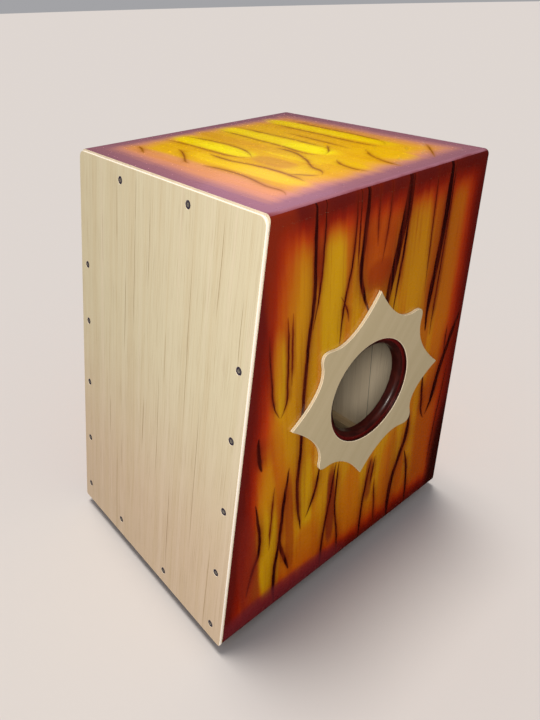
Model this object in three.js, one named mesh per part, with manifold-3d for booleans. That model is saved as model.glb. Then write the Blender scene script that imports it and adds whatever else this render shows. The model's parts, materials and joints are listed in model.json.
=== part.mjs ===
// A cajon: a box drum that the player sits on and beats on its leaning front face, the tapa.
// The box is plywood, glued on inner battens, with a round sound hole in one side under a
// sun-shaped rosette. A turning bar behind the tapa holds two snare sets against its back.
//
// Millimetres. +Z is up, +Y is the back, +X is the side with the sound hole.
// The origin is on the floor, under the middle of the box.

import * as THREE from 'three';
import { mergeVertices } from 'three/addons/utils/BufferGeometryUtils.js';
import { RoundedBoxGeometry } from 'three/addons/geometries/RoundedBoxGeometry.js';
import Module from 'manifold-3d';

const wasm = await Module();
wasm.setup();

// ---------------------------------------------------------------- driving dimensions

// The box, without its feet.
const WIDTH = 320;
const HEIGHT = 470;
const BASE_DEPTH = 396;
const SETBACK = 85; // how far back the front leans over the box's height
const EDGE_RADIUS = 6;
const PLY = 12; // top, side and back panels
const BASE_PLY = 9; // bottom panel
const GLUE_GAP = 0.3; // between any two pieces that touch

// The tapa and its screws.
const TAPA_THICKNESS = 3.5;
const TAPA_INSET = 0.5; // its outline inside the box's sides and bottom
const TAPA_TOP_INSET = 1;
const TAPA_TOP_CORNER = 8;
const TAPA_BOTTOM_CORNER = 3;

// The sound hole, its outer edge rounded over, and the rosette with its own wider hole.
const HOLE_RADIUS = 53.5;
const HOLE_EDGE = 5;
const HOLE_RISE = 7.5; // above the middle of the side
const HOLE_SETBACK = 4; // behind the middle of the side
const SUN_HOLE_RADIUS = 62;
const SUN_THICKNESS = 3.5;

// The rosette's eight points, sawn by hand: [reach from the hole's centre, bearing in degrees],
// where 0 is up and bearings grow towards the back. Sharp and round points take turns.
const SUN_POINTS = [
  [118.5, 2], [106, 47], [122, 96], [110.5, 135.5], [115, 183.5], [101.5, 228], [117, 273], [105, 315.5],
];
const SUN_FLANK = { pull: 77, place: 0.64 }; // control point of a hollow flank, from its sharp point
const SUN_ROUND = { drop: 5.5, halfWidth: 5, pull: 6 }; // a round point's shoulders and control point

// Battens.
const FRONT_BATTEN = { wide: 18, deep: 20 };
const BACK_BATTEN = 15;

// Feet.
const FOOT = { height: 12, base: 12.5, top: 11, inset: 40, webHeight: 5, boreDepth: 7, bore: 5.5 };

// The snare unit.
const BAR = { radius: 8, tenonRadius: 4.9, tenonLength: 11, endFloat: 0.5, behindTapa: 11, rise: 300 };
const BAR_BORE = { radius: 5, depth: 12 };
const SNARE = {
  offset: 42, plateWidth: 46, plateHeight: 11, plate: 1.4, flat: 5, flatMargin: 2, screwInset: 6,
};
const STRAND = { count: 10, pitch: 4.2, radius: 0.6, length: 108, tipGap: 0.4 };

// Wood screws: head and shank radii, head height, whole length, and the room round each.
const TAPA_SCREW = { head: 4, rim: 0.3, shank: 1.75, cone: 2.3, length: 20, sunk: 0.15, pilot: 2.1 };
const FOOT_SCREW = { head: 4, shank: 2, dome: 2.4, length: 16, pilot: 2.3 };
const SNARE_SCREW = { head: 2.6, shank: 1.25, dome: 1.6, length: 9, pilot: 1.5 };
const RECESS = { arm: 0.62, slot: 0.24, depth: 1.5 }; // cross recess, in parts of the head radius
const PAN_CROWN = { flat: 0.6, shoulder: 0.92, shoulderHeight: 0.6 }; // in parts of the head's size
const PILOT_EXTRA = 1; // how much deeper a pilot hole is than its screw

// Where each tapa screw sits: across the front, and up the slope from its bottom edge. They
// were set by hand, so no two rows quite match, and the top corners are left free to slap.
const TAPA_SCREWS = {
  top: [[-68, 461], [54, 463]],
  left: [[-144.5, 349], [-144, 277], [-144.5, 191], [-145, 105], [-145.5, 27.5]],
  right: [[145, 338], [144.5, 264], [144, 180], [141.5, 96.5], [141, 20]],
  bottom: [[-59, 24], [44, 18.5]],
};

const ROUND_STEPS = 48; // facets round the sound hole
const HOLE_EDGE_STEPS = 3; // facets across its rounded edge
const SMALL_STEPS = 16; // facets round screws and feet
const FIT_STEPS = 32; // facets round the bar and its bores

// ---------------------------------------------------------------- places worked out from them

const FLOOR_Z = FOOT.height; // underside of the box
const TOP_Z = FLOOR_Z + HEIGHT;
const BACK_Y = BASE_DEPTH / 2;
const FRONT_Y = -BASE_DEPTH / 2;
const SIDE_X = WIDTH / 2;
const LEAN = Math.atan(SETBACK / HEIGHT);
const SLOPE = Math.hypot(SETBACK, HEIGHT);
const INNER_X = SIDE_X - PLY;
const INNER_TOP = TOP_Z - PLY - GLUE_GAP;
const INNER_BOTTOM = FLOOR_Z + BASE_PLY + GLUE_GAP;
const HOLE_Z = FLOOR_Z + HEIGHT / 2 + HOLE_RISE;
const HOLE_Y = (frontY(HOLE_Z, 0) + BACK_Y) / 2 + HOLE_SETBACK;
const BEHIND_TAPA = TAPA_THICKNESS + GLUE_GAP;
const BATTEN_BACK = BEHIND_TAPA + FRONT_BATTEN.deep;
const BATTEN_OUTER_X = INNER_X - GLUE_GAP;
const BATTEN_INNER_X = BATTEN_OUTER_X - FRONT_BATTEN.wide;

// The leaning frame: its origin is the middle of the front's bottom edge, its Z runs up the
// slope and its Y runs into the box.
const leaning = new THREE.Matrix4().makeRotationX(-LEAN).setPosition(0, FRONT_Y, FLOOR_Z);

// Turns a side view drawn in [y, z] and extruded along Z so that it is extruded along X.
const yzToX = new THREE.Matrix4().makeBasis(
  new THREE.Vector3(0, 1, 0), new THREE.Vector3(0, 0, 1), new THREE.Vector3(1, 0, 0));

// y of a plane parallel to the front, `inset` behind it, at height z.
function frontY(z, inset) {
  return FRONT_Y + (z - FLOOR_Z) * (SETBACK / HEIGHT) + inset / Math.cos(LEAN);
}

// ---------------------------------------------------------------- solids

function toSolid(geometry) {
  const bare = geometry.clone();
  bare.deleteAttribute('normal');
  bare.deleteAttribute('uv');
  const merged = mergeVertices(bare);
  return new wasm.Manifold(new wasm.Mesh({
    numProp: 3,
    vertProperties: new Float32Array(merged.attributes.position.array),
    triVerts: new Uint32Array(merged.index.array),
  }));
}

function toGeometry(solid) {
  const mesh = solid.getMesh();
  const geometry = new THREE.BufferGeometry();
  geometry.setAttribute('position', new THREE.BufferAttribute(mesh.vertProperties, 3));
  geometry.setIndex(new THREE.BufferAttribute(mesh.triVerts, 1));
  geometry.computeVertexNormals();
  return geometry;
}

function subtractAll(geometry, tools) {
  return toGeometry(tools.reduce((rest, tool) => rest.subtract(toSolid(tool)), toSolid(geometry)));
}

function joinAll(geometries) {
  return toGeometry(geometries.map(toSolid).reduce((whole, next) => whole.add(next)));
}

function intersection(first, second) {
  return toGeometry(toSolid(first).intersect(toSolid(second)));
}

function boxBetween(low, high) {
  const size = high.map((value, i) => value - low[i]);
  const middle = high.map((value, i) => (value + low[i]) / 2);
  return new THREE.BoxGeometry(...size).translate(...middle);
}

// A prism along X from x0 to x1, with a side view drawn in [y, z].
function prism(x0, x1, sideView) {
  const outline = new THREE.Shape(sideView.map(([y, z]) => new THREE.Vector2(y, z)));
  const geometry = new THREE.ExtrudeGeometry(outline, { depth: x1 - x0, bevelEnabled: false });
  return geometry.applyMatrix4(yzToX).translate(x0, 0, 0);
}

function cylinderAlongX(radius, x0, x1, y, z, steps) {
  const geometry = new THREE.CylinderGeometry(radius, radius, x1 - x0, steps);
  return geometry.rotateZ(-Math.PI / 2).translate((x0 + x1) / 2, y, z);
}

// A turned solid about Y, from [radius, y] pairs given from the lowest y to the highest.
function turned(profile, steps) {
  return new THREE.LatheGeometry(profile.map(([r, y]) => new THREE.Vector2(r, y)), steps);
}

// ---------------------------------------------------------------- box panels

// The whole box as one block with rounded edges, reaching past its front.
function roundedBlock() {
  const past = 4 * EDGE_RADIUS;
  const depth = BASE_DEPTH + past;
  const edgeSteps = 3;
  const block = new RoundedBoxGeometry(WIDTH, depth, HEIGHT, edgeSteps, EDGE_RADIUS);
  return block.translate(0, BACK_Y - depth / 2, FLOOR_Z + HEIGHT / 2);
}

// The part of the rounded block between two x, two z, the tapa's back and the plane y = back.
function panel(x0, x1, z0, z1, back = BACK_Y) {
  const sideView = [
    [frontY(z0, BEHIND_TAPA), z0],
    [back, z0],
    [back, z1],
    [frontY(z1, BEHIND_TAPA), z1],
  ];
  return intersection(roundedBlock(), prism(x0, x1, sideView));
}

function topPanel() {
  return panel(-SIDE_X, SIDE_X, TOP_Z - PLY, TOP_Z);
}

function bottomPanel() {
  const pilots = footPlaces().map(([, x, y]) => {
    const depth = FOOT_SCREW.length - FOOT.webHeight + PILOT_EXTRA / 2;
    const hole = new THREE.CylinderGeometry(FOOT_SCREW.pilot, FOOT_SCREW.pilot, 2 * depth, SMALL_STEPS);
    return hole.rotateX(Math.PI / 2).translate(x, y, FLOOR_Z);
  });
  return subtractAll(panel(-SIDE_X, SIDE_X, FLOOR_Z, FLOOR_Z + BASE_PLY), pilots);
}

function plainSide() {
  return panel(-SIDE_X, -INNER_X, INNER_BOTTOM, INNER_TOP);
}

// The room of the sound hole, with its outer edge rounded over.
function soundHole() {
  const mouth = Array.from({ length: HOLE_EDGE_STEPS + 1 }, (_, i) => {
    const angle = (Math.PI / 2) * (i / HOLE_EDGE_STEPS);
    const radius = HOLE_RADIUS + HOLE_EDGE * (1 - Math.cos(angle));
    return [radius, PLY - HOLE_EDGE * (1 - Math.sin(angle))];
  });
  const widest = HOLE_RADIUS + HOLE_EDGE;
  const profile = [[0, -PLY], [HOLE_RADIUS, -PLY], ...mouth, [widest, 2 * PLY], [0, 2 * PLY]];
  return turned(profile, ROUND_STEPS).rotateZ(-Math.PI / 2).translate(INNER_X, HOLE_Y, HOLE_Z);
}

function soundSide() {
  return subtractAll(panel(INNER_X, SIDE_X, INNER_BOTTOM, INNER_TOP), [soundHole()]);
}

function backPanel() {
  const half = INNER_X - GLUE_GAP;
  return boxBetween([-half, BACK_Y - PLY, INNER_BOTTOM], [half, BACK_Y, INNER_TOP]);
}

// ---------------------------------------------------------------- battens

// Side view of a batten that follows the tapa's back between two heights.
function frontBand(z0, z1) {
  return [
    [frontY(z0, BEHIND_TAPA), z0],
    [frontY(z0, BATTEN_BACK), z0],
    [frontY(z1, BATTEN_BACK), z1],
    [frontY(z1, BEHIND_TAPA), z1],
  ];
}

// Pilot holes for tapa screws, in the box's frame.
function pilotHoles(spots) {
  const depth = TAPA_SCREW.length + PILOT_EXTRA;
  return spots.map(([x, rise]) => {
    const hole = new THREE.CylinderGeometry(TAPA_SCREW.pilot, TAPA_SCREW.pilot, depth, SMALL_STEPS);
    return hole.translate(x, depth / 2, rise).applyMatrix4(leaning);
  });
}

// A front batten on one side: screwed through the tapa, and bored for the snare bar's tenon.
function frontSideBatten(side, spots) {
  const [x0, x1] = side > 0 ? [BATTEN_INNER_X, BATTEN_OUTER_X] : [-BATTEN_OUTER_X, -BATTEN_INNER_X];
  const batten = prism(x0, x1, frontBand(INNER_BOTTOM, INNER_TOP));
  const mouth = side * BATTEN_INNER_X;
  const [b0, b1] = [mouth - BAR_BORE.depth, mouth + BAR_BORE.depth];
  const bore = cylinderAlongX(BAR_BORE.radius, b0, b1, ...barAxis(), FIT_STEPS).applyMatrix4(leaning);
  return subtractAll(batten, [...pilotHoles(spots), bore]);
}

function frontCrossBatten(z0, z1, spots) {
  const half = BATTEN_INNER_X - GLUE_GAP;
  return subtractAll(prism(-half, half, frontBand(z0, z1)), pilotHoles(spots));
}

function backSideBatten(side) {
  const xs = [side * (INNER_X - GLUE_GAP), side * (INNER_X - GLUE_GAP - BACK_BATTEN)];
  const y1 = BACK_Y - PLY - GLUE_GAP;
  return boxBetween([Math.min(...xs), y1 - BACK_BATTEN, INNER_BOTTOM], [Math.max(...xs), y1, INNER_TOP]);
}

function backCrossBatten(z0, z1) {
  const half = INNER_X - BACK_BATTEN - 2 * GLUE_GAP;
  const y1 = BACK_Y - PLY - GLUE_GAP;
  return boxBetween([-half, y1 - BACK_BATTEN, z0], [half, y1, z1]);
}

// ---------------------------------------------------------------- screws

// A cross recess, to be cut from a head whose face is at y = 0 and whose screw runs to +y.
function crossRecess(headRadius) {
  const arm = RECESS.arm * headRadius;
  const slot = RECESS.slot * headRadius / 2;
  const bars = [[arm, slot], [slot, arm]];
  return bars.map(([x, z]) => boxBetween([-x, -RECESS.depth, -z], [x, RECESS.depth, z]));
}

// A countersunk screw: its face at y = 0, its point at y = length.
function countersunkScrew({ head, rim, shank, cone, length }) {
  const point = 2 * shank;
  const body = turned([[0, 0], [head, 0], [head, rim], [shank, cone],
    [shank, length - point], [0, length]], SMALL_STEPS);
  return subtractAll(body, crossRecess(head));
}

// The room a countersunk screw needs in the sheet it holds, a little wider than the screw.
function countersink({ head, shank, cone, pilot, sunk }) {
  const room = GLUE_GAP;
  const past = 10;
  return turned([[0, -past], [head + room, -past], [head + room, sunk + room],
    [pilot, cone + sunk + room], [pilot, past], [0, past]], SMALL_STEPS);
}

// A pan-head screw: the head's underside at y = 0, the head towards -y, its point at +y.
function panScrew({ head, shank, dome, length }) {
  const point = 2 * shank;
  const shoulder = [head * PAN_CROWN.shoulder, -dome * PAN_CROWN.shoulderHeight];
  const body = turned([[0, -dome], [head * PAN_CROWN.flat, -dome], shoulder, [head, 0],
    [shank, 0], [shank, length - point], [0, length]], SMALL_STEPS);
  const recess = crossRecess(head).map((tool) => tool.translate(0, -dome, 0));
  return subtractAll(body, recess);
}

// ---------------------------------------------------------------- tapa

// The tapa's outline, in [across, up the slope].
function tapaOutline() {
  const half = SIDE_X - TAPA_INSET;
  const [low, high] = [TAPA_INSET, SLOPE - TAPA_TOP_INSET];
  const [r, t] = [TAPA_BOTTOM_CORNER, TAPA_TOP_CORNER];
  const outline = new THREE.Shape();
  outline.moveTo(-half + r, low);
  outline.absarc(half - r, low + r, r, -Math.PI / 2, 0);
  outline.absarc(half - t, high - t, t, 0, Math.PI / 2);
  outline.absarc(-half + t, high - t, t, Math.PI / 2, Math.PI);
  outline.absarc(-half + r, low + r, r, Math.PI, 1.5 * Math.PI);
  return outline;
}

// In the leaning frame: the played face at y = 0.
function tapa() {
  const options = { depth: TAPA_THICKNESS, bevelEnabled: false, curveSegments: 6 };
  const sheet = new THREE.ExtrudeGeometry(tapaOutline(), options);
  sheet.rotateX(Math.PI / 2).translate(0, TAPA_THICKNESS, 0);
  const sinks = Object.values(TAPA_SCREWS).flat()
    .map(([x, rise]) => countersink(TAPA_SCREW).translate(x, 0, rise));
  return subtractAll(sheet, sinks);
}

// ---------------------------------------------------------------- rosette

// [y, z] from the hole's centre, at a reach and a bearing in degrees.
function sunPoint(reach, bearing) {
  const angle = THREE.MathUtils.degToRad(bearing);
  return [reach * Math.sin(angle), reach * Math.cos(angle)];
}

// The control point of the hollow flank between a sharp point and a round point's shoulder.
function flankPull(sharpBearing, shoulderBearing) {
  const bearing = THREE.MathUtils.lerp(sharpBearing, shoulderBearing, SUN_FLANK.place);
  return sunPoint(SUN_FLANK.pull, bearing);
}

// Sharp and round points joined by hollow flanks.
function sunOutline() {
  const outline = new THREE.Shape();
  outline.moveTo(...sunPoint(...SUN_POINTS[0]));
  for (let i = 0; i < SUN_POINTS.length; i += 2) {
    const [, sharp] = SUN_POINTS[i];
    const [reach, round] = SUN_POINTS[i + 1];
    const [nextReach, nextSharp] = SUN_POINTS[(i + 2) % SUN_POINTS.length];
    const next = nextSharp < sharp ? nextSharp + 360 : nextSharp;
    const [rise, fall] = [round - SUN_ROUND.halfWidth, round + SUN_ROUND.halfWidth];
    const shoulder = reach - SUN_ROUND.drop;
    outline.quadraticCurveTo(...flankPull(sharp, rise), ...sunPoint(shoulder, rise));
    outline.quadraticCurveTo(...sunPoint(reach + SUN_ROUND.pull, round), ...sunPoint(shoulder, fall));
    outline.quadraticCurveTo(...flankPull(next, fall), ...sunPoint(nextReach, next));
  }
  return outline;
}

function rosette() {
  const options = { depth: SUN_THICKNESS, bevelEnabled: false, curveSegments: 8 };
  const star = new THREE.ExtrudeGeometry(sunOutline(), options);
  star.applyMatrix4(yzToX).translate(SIDE_X + GLUE_GAP, HOLE_Y, HOLE_Z);
  const hole = cylinderAlongX(SUN_HOLE_RADIUS, SIDE_X, SIDE_X + 2 * PLY, HOLE_Y, HOLE_Z, ROUND_STEPS);
  return subtractAll(star, [hole]);
}

// ---------------------------------------------------------------- feet

// [name, x, y] of each foot.
function footPlaces() {
  const x = SIDE_X - FOOT.inset;
  const [front, back] = [FRONT_Y + FOOT.inset, BACK_Y - FOOT.inset];
  return [
    ['front_left', -x, front],
    ['front_right', x, front],
    ['back_left', -x, back],
    ['back_right', x, back],
  ];
}

// A tapered rubber foot standing on z = 0, bored from below for a pan-head screw.
function foot() {
  const { base, top, height, boreDepth, bore } = FOOT;
  const through = FOOT_SCREW.pilot;
  const edge = 1;
  const profile = [[bore, 0], [base - edge, 0], [base, edge], [top, height - GLUE_GAP],
    [through, height - GLUE_GAP], [through, boreDepth], [bore, boreDepth], [bore, 0]];
  return turned(profile, SMALL_STEPS).rotateX(Math.PI / 2);
}

// ---------------------------------------------------------------- snare unit

// The bar's axis in the leaning frame, as [y, z].
function barAxis() {
  return [TAPA_THICKNESS + BAR.behindTapa, BAR.rise];
}

// How far the snare unit is turned so that the strands' tips just meet the tapa's back.
function snareTilt() {
  const strandFront = SNARE.flat + GLUE_GAP + SNARE.plate / 2 + STRAND.radius;
  return Math.asin((BAR.behindTapa - STRAND.tipGap - strandFront) / STRAND.length);
}

// A dowel with a tenon at each end and a planed flat under each snare plate.
function snareBar() {
  const half = BATTEN_INNER_X - BAR.endFloat;
  const dowel = cylinderAlongX(BAR.radius, -half, half, 0, 0, FIT_STEPS);
  const tenonEnd = half + BAR.tenonLength;
  const tenons = cylinderAlongX(BAR.tenonRadius, -tenonEnd, tenonEnd, 0, 0, FIT_STEPS);
  const flats = [-1, 1].map((side) => {
    const middle = side * SNARE.offset;
    const reach = SNARE.plateWidth / 2 + SNARE.flatMargin;
    return boxBetween([middle - reach, -2 * BAR.radius, -BAR.radius],
      [middle + reach, -SNARE.flat, BAR.radius]);
  });
  const pilots = snareScrewPlaces().map(([x]) => {
    const hole = new THREE.CylinderGeometry(
      SNARE_SCREW.pilot, SNARE_SCREW.pilot, 2 * SNARE_SCREW.length, SMALL_STEPS);
    return hole.translate(x, -SNARE.flat, 0);
  });
  return subtractAll(joinAll([dowel, tenons]), [...flats, ...pilots]);
}

// [x] of each plate screw: two to a plate.
function snareScrewPlaces() {
  const reach = SNARE.plateWidth / 2 - SNARE.screwInset;
  return [-1, 1].flatMap((side) => [-reach, reach].map((x) => [side * SNARE.offset + x]));
}

// One steel plate with its strands soldered in a row under it.
function snareSet(side) {
  const middle = side * SNARE.offset;
  const front = -(SNARE.flat + GLUE_GAP + SNARE.plate);
  const back = -(SNARE.flat + GLUE_GAP);
  const halfWidth = SNARE.plateWidth / 2;
  const halfHeight = SNARE.plateHeight / 2;
  const plate = boxBetween(
    [middle - halfWidth, front, -halfHeight], [middle + halfWidth, back, halfHeight]);
  const strands = Array.from({ length: STRAND.count }, (_, i) => {
    const x = middle + (i - (STRAND.count - 1) / 2) * STRAND.pitch;
    const reach = STRAND.length - halfHeight / 2;
    const strand = new THREE.CylinderGeometry(STRAND.radius, STRAND.radius, reach, 8);
    return strand.rotateX(Math.PI / 2).translate(x, (front + back) / 2, -STRAND.length + reach / 2);
  });
  const holes = snareScrewPlaces().map(([x]) => {
    const hole = new THREE.CylinderGeometry(
      SNARE_SCREW.pilot, SNARE_SCREW.pilot, 4 * SNARE.plate, SMALL_STEPS);
    return hole.translate(x, front, 0);
  });
  return subtractAll(joinAll([plate, ...strands]), holes);
}

// ---------------------------------------------------------------- materials

function finish(colour, roughness, metalness = 0) {
  return new THREE.MeshStandardMaterial({ color: colour, roughness, metalness });
}

const MATERIALS = {
  stainedPly: finish(0x7a2410, 0.25),
  tapaVeneer: finish(0xd8c4a0, 0.5),
  rosetteVeneer: finish(0xa49872, 0.7),
  bareWood: finish(0xb69a70, 0.8),
  dowel: finish(0xc8ab7c, 0.7),
  rubber: finish(0x1b1b1c, 0.85),
  blackSteel: finish(0x2b2630, 0.4, 1),
  steel: finish(0xa8a8a6, 0.35, 1),
  snareSteel: finish(0xc4c4c2, 0.25, 1),
};

// ---------------------------------------------------------------- assembly

function piece(name, geometry, material) {
  const mesh = new THREE.Mesh(geometry, material);
  mesh.name = name;
  return mesh;
}

function boxPieces() {
  const { stainedPly, bareWood } = MATERIALS;
  const top = INNER_TOP - FRONT_BATTEN.deep;
  const bottom = INNER_BOTTOM + FRONT_BATTEN.deep;
  return [
    piece('top_panel', topPanel(), stainedPly),
    piece('bottom_panel', bottomPanel(), bareWood),
    piece('side_panel_sound_hole', soundSide(), stainedPly),
    piece('side_panel_plain', plainSide(), stainedPly),
    piece('back_panel', backPanel(), stainedPly),
    piece('front_batten_left', frontSideBatten(-1, TAPA_SCREWS.left), bareWood),
    piece('front_batten_right', frontSideBatten(1, TAPA_SCREWS.right), bareWood),
    piece('front_batten_top', frontCrossBatten(top, INNER_TOP, TAPA_SCREWS.top), bareWood),
    piece('front_batten_bottom', frontCrossBatten(INNER_BOTTOM, bottom, TAPA_SCREWS.bottom), bareWood),
    piece('back_batten_left', backSideBatten(-1), bareWood),
    piece('back_batten_right', backSideBatten(1), bareWood),
    piece('back_batten_top', backCrossBatten(INNER_TOP - BACK_BATTEN, INNER_TOP), bareWood),
    piece('back_batten_bottom', backCrossBatten(INNER_BOTTOM, INNER_BOTTOM + BACK_BATTEN), bareWood),
    piece('sun_rosette', rosette(), MATERIALS.rosetteVeneer),
  ];
}

function footPieces() {
  return footPlaces().flatMap(([name, x, y]) => {
    const rubberFoot = piece(`foot_${name}`, foot(), MATERIALS.rubber);
    const screw = piece(`foot_screw_${name}`, panScrew(FOOT_SCREW), MATERIALS.steel);
    screw.geometry.rotateX(Math.PI / 2);
    rubberFoot.position.set(x, y, 0);
    screw.position.set(x, y, FOOT.boreDepth - GLUE_GAP);
    return [rubberFoot, screw];
  });
}

// The tapa and its screws, in the leaning frame.
function tapaGroup() {
  const group = new THREE.Group();
  group.position.set(0, FRONT_Y, FLOOR_Z);
  group.rotation.x = -LEAN;
  group.add(piece('tapa', tapa(), MATERIALS.tapaVeneer));
  for (const [row, spots] of Object.entries(TAPA_SCREWS)) {
    spots.forEach(([x, rise], i) => {
      const screw = piece(`tapa_screw_${row}_${i + 1}`, countersunkScrew(TAPA_SCREW), MATERIALS.blackSteel);
      screw.position.set(x, TAPA_SCREW.sunk, rise);
      group.add(screw);
    });
  }
  return group;
}

// The snare unit about its bar's axis, placed in the leaning frame.
function snareGroup() {
  const group = new THREE.Group();
  group.position.set(0, ...barAxis());
  group.rotation.x = -snareTilt();
  group.add(piece('snare_bar', snareBar(), MATERIALS.dowel));
  group.add(piece('snare_set_left', snareSet(-1), MATERIALS.snareSteel));
  group.add(piece('snare_set_right', snareSet(1), MATERIALS.snareSteel));
  snareScrewPlaces().forEach(([x], i) => {
    const screw = piece(`snare_screw_${i + 1}`, panScrew(SNARE_SCREW), MATERIALS.steel);
    screw.position.set(x, -(SNARE.flat + 2 * GLUE_GAP + SNARE.plate), 0);
    group.add(screw);
  });
  return group;
}

const cajon = new THREE.Group();
cajon.add(...boxPieces(), ...footPieces());
const front = tapaGroup();
front.add(snareGroup());
cajon.add(front);

export default cajon;
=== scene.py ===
"""The looks of a cajon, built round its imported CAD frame.

Every visible CAD node is replaced by a finer mesh of the same size, or keeps its shape and gets
eased edges. All colour and grain is procedural, in millimetres of the part's own frame: +X is
the side with the sound hole, +Y the back, +Z up.
"""

import json
import math
import random

import bmesh
import bpy
from mathutils import Matrix, Vector


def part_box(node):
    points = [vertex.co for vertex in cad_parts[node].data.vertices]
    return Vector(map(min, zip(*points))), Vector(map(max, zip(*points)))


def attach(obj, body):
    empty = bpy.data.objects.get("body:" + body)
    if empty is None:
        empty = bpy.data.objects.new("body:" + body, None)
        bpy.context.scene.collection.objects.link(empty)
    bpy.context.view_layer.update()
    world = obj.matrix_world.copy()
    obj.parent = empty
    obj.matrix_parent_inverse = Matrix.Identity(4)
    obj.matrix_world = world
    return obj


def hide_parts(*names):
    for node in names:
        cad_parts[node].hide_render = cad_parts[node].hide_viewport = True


MM = 0.001
BOX_BODY, SNARE_BODY = "drum_box", "snare_unit"
X, Y, Z = Vector((1, 0, 0)), Vector((0, 1, 0)), Vector((0, 0, 1))
OUTWARD = Matrix.Rotation(math.pi / 2, 4, "X")  # turns a lathe's Z onto -Y
SIDEWAYS = Matrix.Rotation(math.pi / 2, 4, "Y")  # turns a lathe's Z onto +X

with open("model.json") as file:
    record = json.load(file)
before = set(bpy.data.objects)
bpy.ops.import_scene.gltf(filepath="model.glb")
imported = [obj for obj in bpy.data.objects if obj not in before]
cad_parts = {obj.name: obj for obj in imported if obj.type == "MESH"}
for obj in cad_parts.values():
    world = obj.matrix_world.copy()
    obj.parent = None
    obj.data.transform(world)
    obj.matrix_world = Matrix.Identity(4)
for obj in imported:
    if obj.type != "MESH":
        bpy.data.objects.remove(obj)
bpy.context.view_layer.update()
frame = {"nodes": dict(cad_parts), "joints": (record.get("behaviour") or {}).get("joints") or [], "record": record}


# ---- facts read from the frame


def flattest_normal(node):
    """The normal of a CAD node's largest flat face, square to the X axis."""
    areas = {}
    for polygon in frame["nodes"][node].data.polygons:
        key = tuple(round(c, 2) for c in polygon.normal)
        area, total = areas.get(key, (0.0, Vector()))
        areas[key] = (area + polygon.area, total + polygon.normal * polygon.area)
    normal = max(areas.values(), key=lambda pair: pair[0])[1]
    return Vector((0, normal.y, normal.z)).normalized()


def slanted_frame(origin, inward):
    """A matrix with the part's X, a Y along `inward` and a Z square to both, pointing up."""
    matrix = Matrix((X, inward, X.cross(inward))).transposed().to_4x4()
    matrix.translation = origin
    return matrix


def box_in(node, inverse):
    """Lowest and highest corner of a CAD node in another frame."""
    points = [inverse @ v.co for v in frame["nodes"][node].data.vertices]
    low = Vector(min(p[i] for p in points) for i in range(3))
    high = Vector(max(p[i] for p in points) for i in range(3))
    return low, high


TOP_LOW, TOP_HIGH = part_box("top_panel")
BASE_LOW, BASE_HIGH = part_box("bottom_panel")
SIDE_LOW, SIDE_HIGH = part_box("side_panel_sound_hole")
BACK_LOW, BACK_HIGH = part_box("back_panel")
SUN_LOW, SUN_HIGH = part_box("sun_rosette")

# The leaning frame of the tapa: its face is y = 0 and its Z runs up the slope.
tapa_normal = flattest_normal("tapa")
INWARD = tapa_normal if tapa_normal.y > 0 else -tapa_normal
LEAN = math.atan2(-INWARD.z, INWARD.y)
FACE_DEPTH = box_in("tapa", slanted_frame(Vector(), INWARD).inverted())[0].y
FRONT_AT_BASE = (FACE_DEPTH - BASE_LOW.z * INWARD.z) / INWARD.y
FRONT = slanted_frame(Vector((0, FRONT_AT_BASE, BASE_LOW.z)), INWARD)
INTO_FRONT = FRONT.inverted()
TAPA_LOW, TAPA_HIGH = box_in("tapa", INTO_FRONT)

# The sound hole's middle, then sizes in millimetres.
hole_box = next(o for o in frame["record"]["physics"]["openings"] if o["name"] == "sound_hole")["box_m"]
HOLE = (Vector(hole_box[0]) + Vector(hole_box[1])) / 2
HOLE_RADIUS, HOLE_EDGE = 53.5, 5  # of the side's hole and its rounded-over outer edge
SUN_HOLE_RADIUS = 62
EDGE_RADIUS = 6  # of the box's long edges


# ---- meshes


def add_object(name, data):
    """A new object in the scene."""
    made = bpy.data.objects.new(name, data)
    bpy.context.scene.collection.objects.link(made)
    return made


def link(name, mesh, node, body=BOX_BODY, matrix=Matrix()):
    """A new piece that rides on a body and stands for a CAD node."""
    piece = add_object(name, mesh)
    piece.matrix_world = matrix
    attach(piece, body)
    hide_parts(node)
    return piece


def to_mesh(bm, name):
    mesh = bpy.data.meshes.new(name)
    bmesh.ops.recalc_face_normals(bm, faces=bm.faces)
    bm.to_mesh(mesh)
    bm.free()
    return mesh


def smooth(mesh, degrees=35):
    mesh.shade_smooth()
    mesh.set_sharp_from_angle(angle=math.radians(degrees))
    return mesh


def cut_away(mesh, cutter):
    """The mesh with a cutter, a bmesh, taken out of it."""
    body = add_object("carved", mesh)
    tool = add_object("cutter", to_mesh(cutter, "cutter"))
    modifier = body.modifiers.new("cut", "BOOLEAN")
    modifier.operation = "DIFFERENCE"
    modifier.solver = "EXACT"
    modifier.object = tool
    depsgraph = bpy.context.evaluated_depsgraph_get()
    result = bpy.data.meshes.new_from_object(body.evaluated_get(depsgraph))
    bpy.data.objects.remove(body)
    bpy.data.objects.remove(tool)
    return result


def polar(radius, angle):
    return radius * math.cos(angle), radius * math.sin(angle)


def lathe(profile, steps, matrix=Matrix()):
    """A bmesh turned about Z from [radius, z] pairs in millimetres."""
    bm = bmesh.new()
    rings = []
    for radius, height in profile:
        around = steps if radius else 1
        turns = [polar(radius * MM, 2 * math.pi * i / steps) for i in range(around)]
        rings.append([bm.verts.new((*turn, height * MM)) for turn in turns])
    for lower, upper in zip(rings, rings[1:]):
        for i in range(steps):
            pairs = [(lower, i), (lower, i + 1), (upper, i + 1), (upper, i)]
            corners = list(dict.fromkeys(ring[k % len(ring)] for ring, k in pairs))
            if len(corners) > 2:
                bm.faces.new(corners)
    if profile[0] == profile[-1]:
        bmesh.ops.remove_doubles(bm, verts=bm.verts, dist=1e-7)
    bmesh.ops.transform(bm, matrix=matrix, verts=bm.verts)
    return bm


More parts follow.
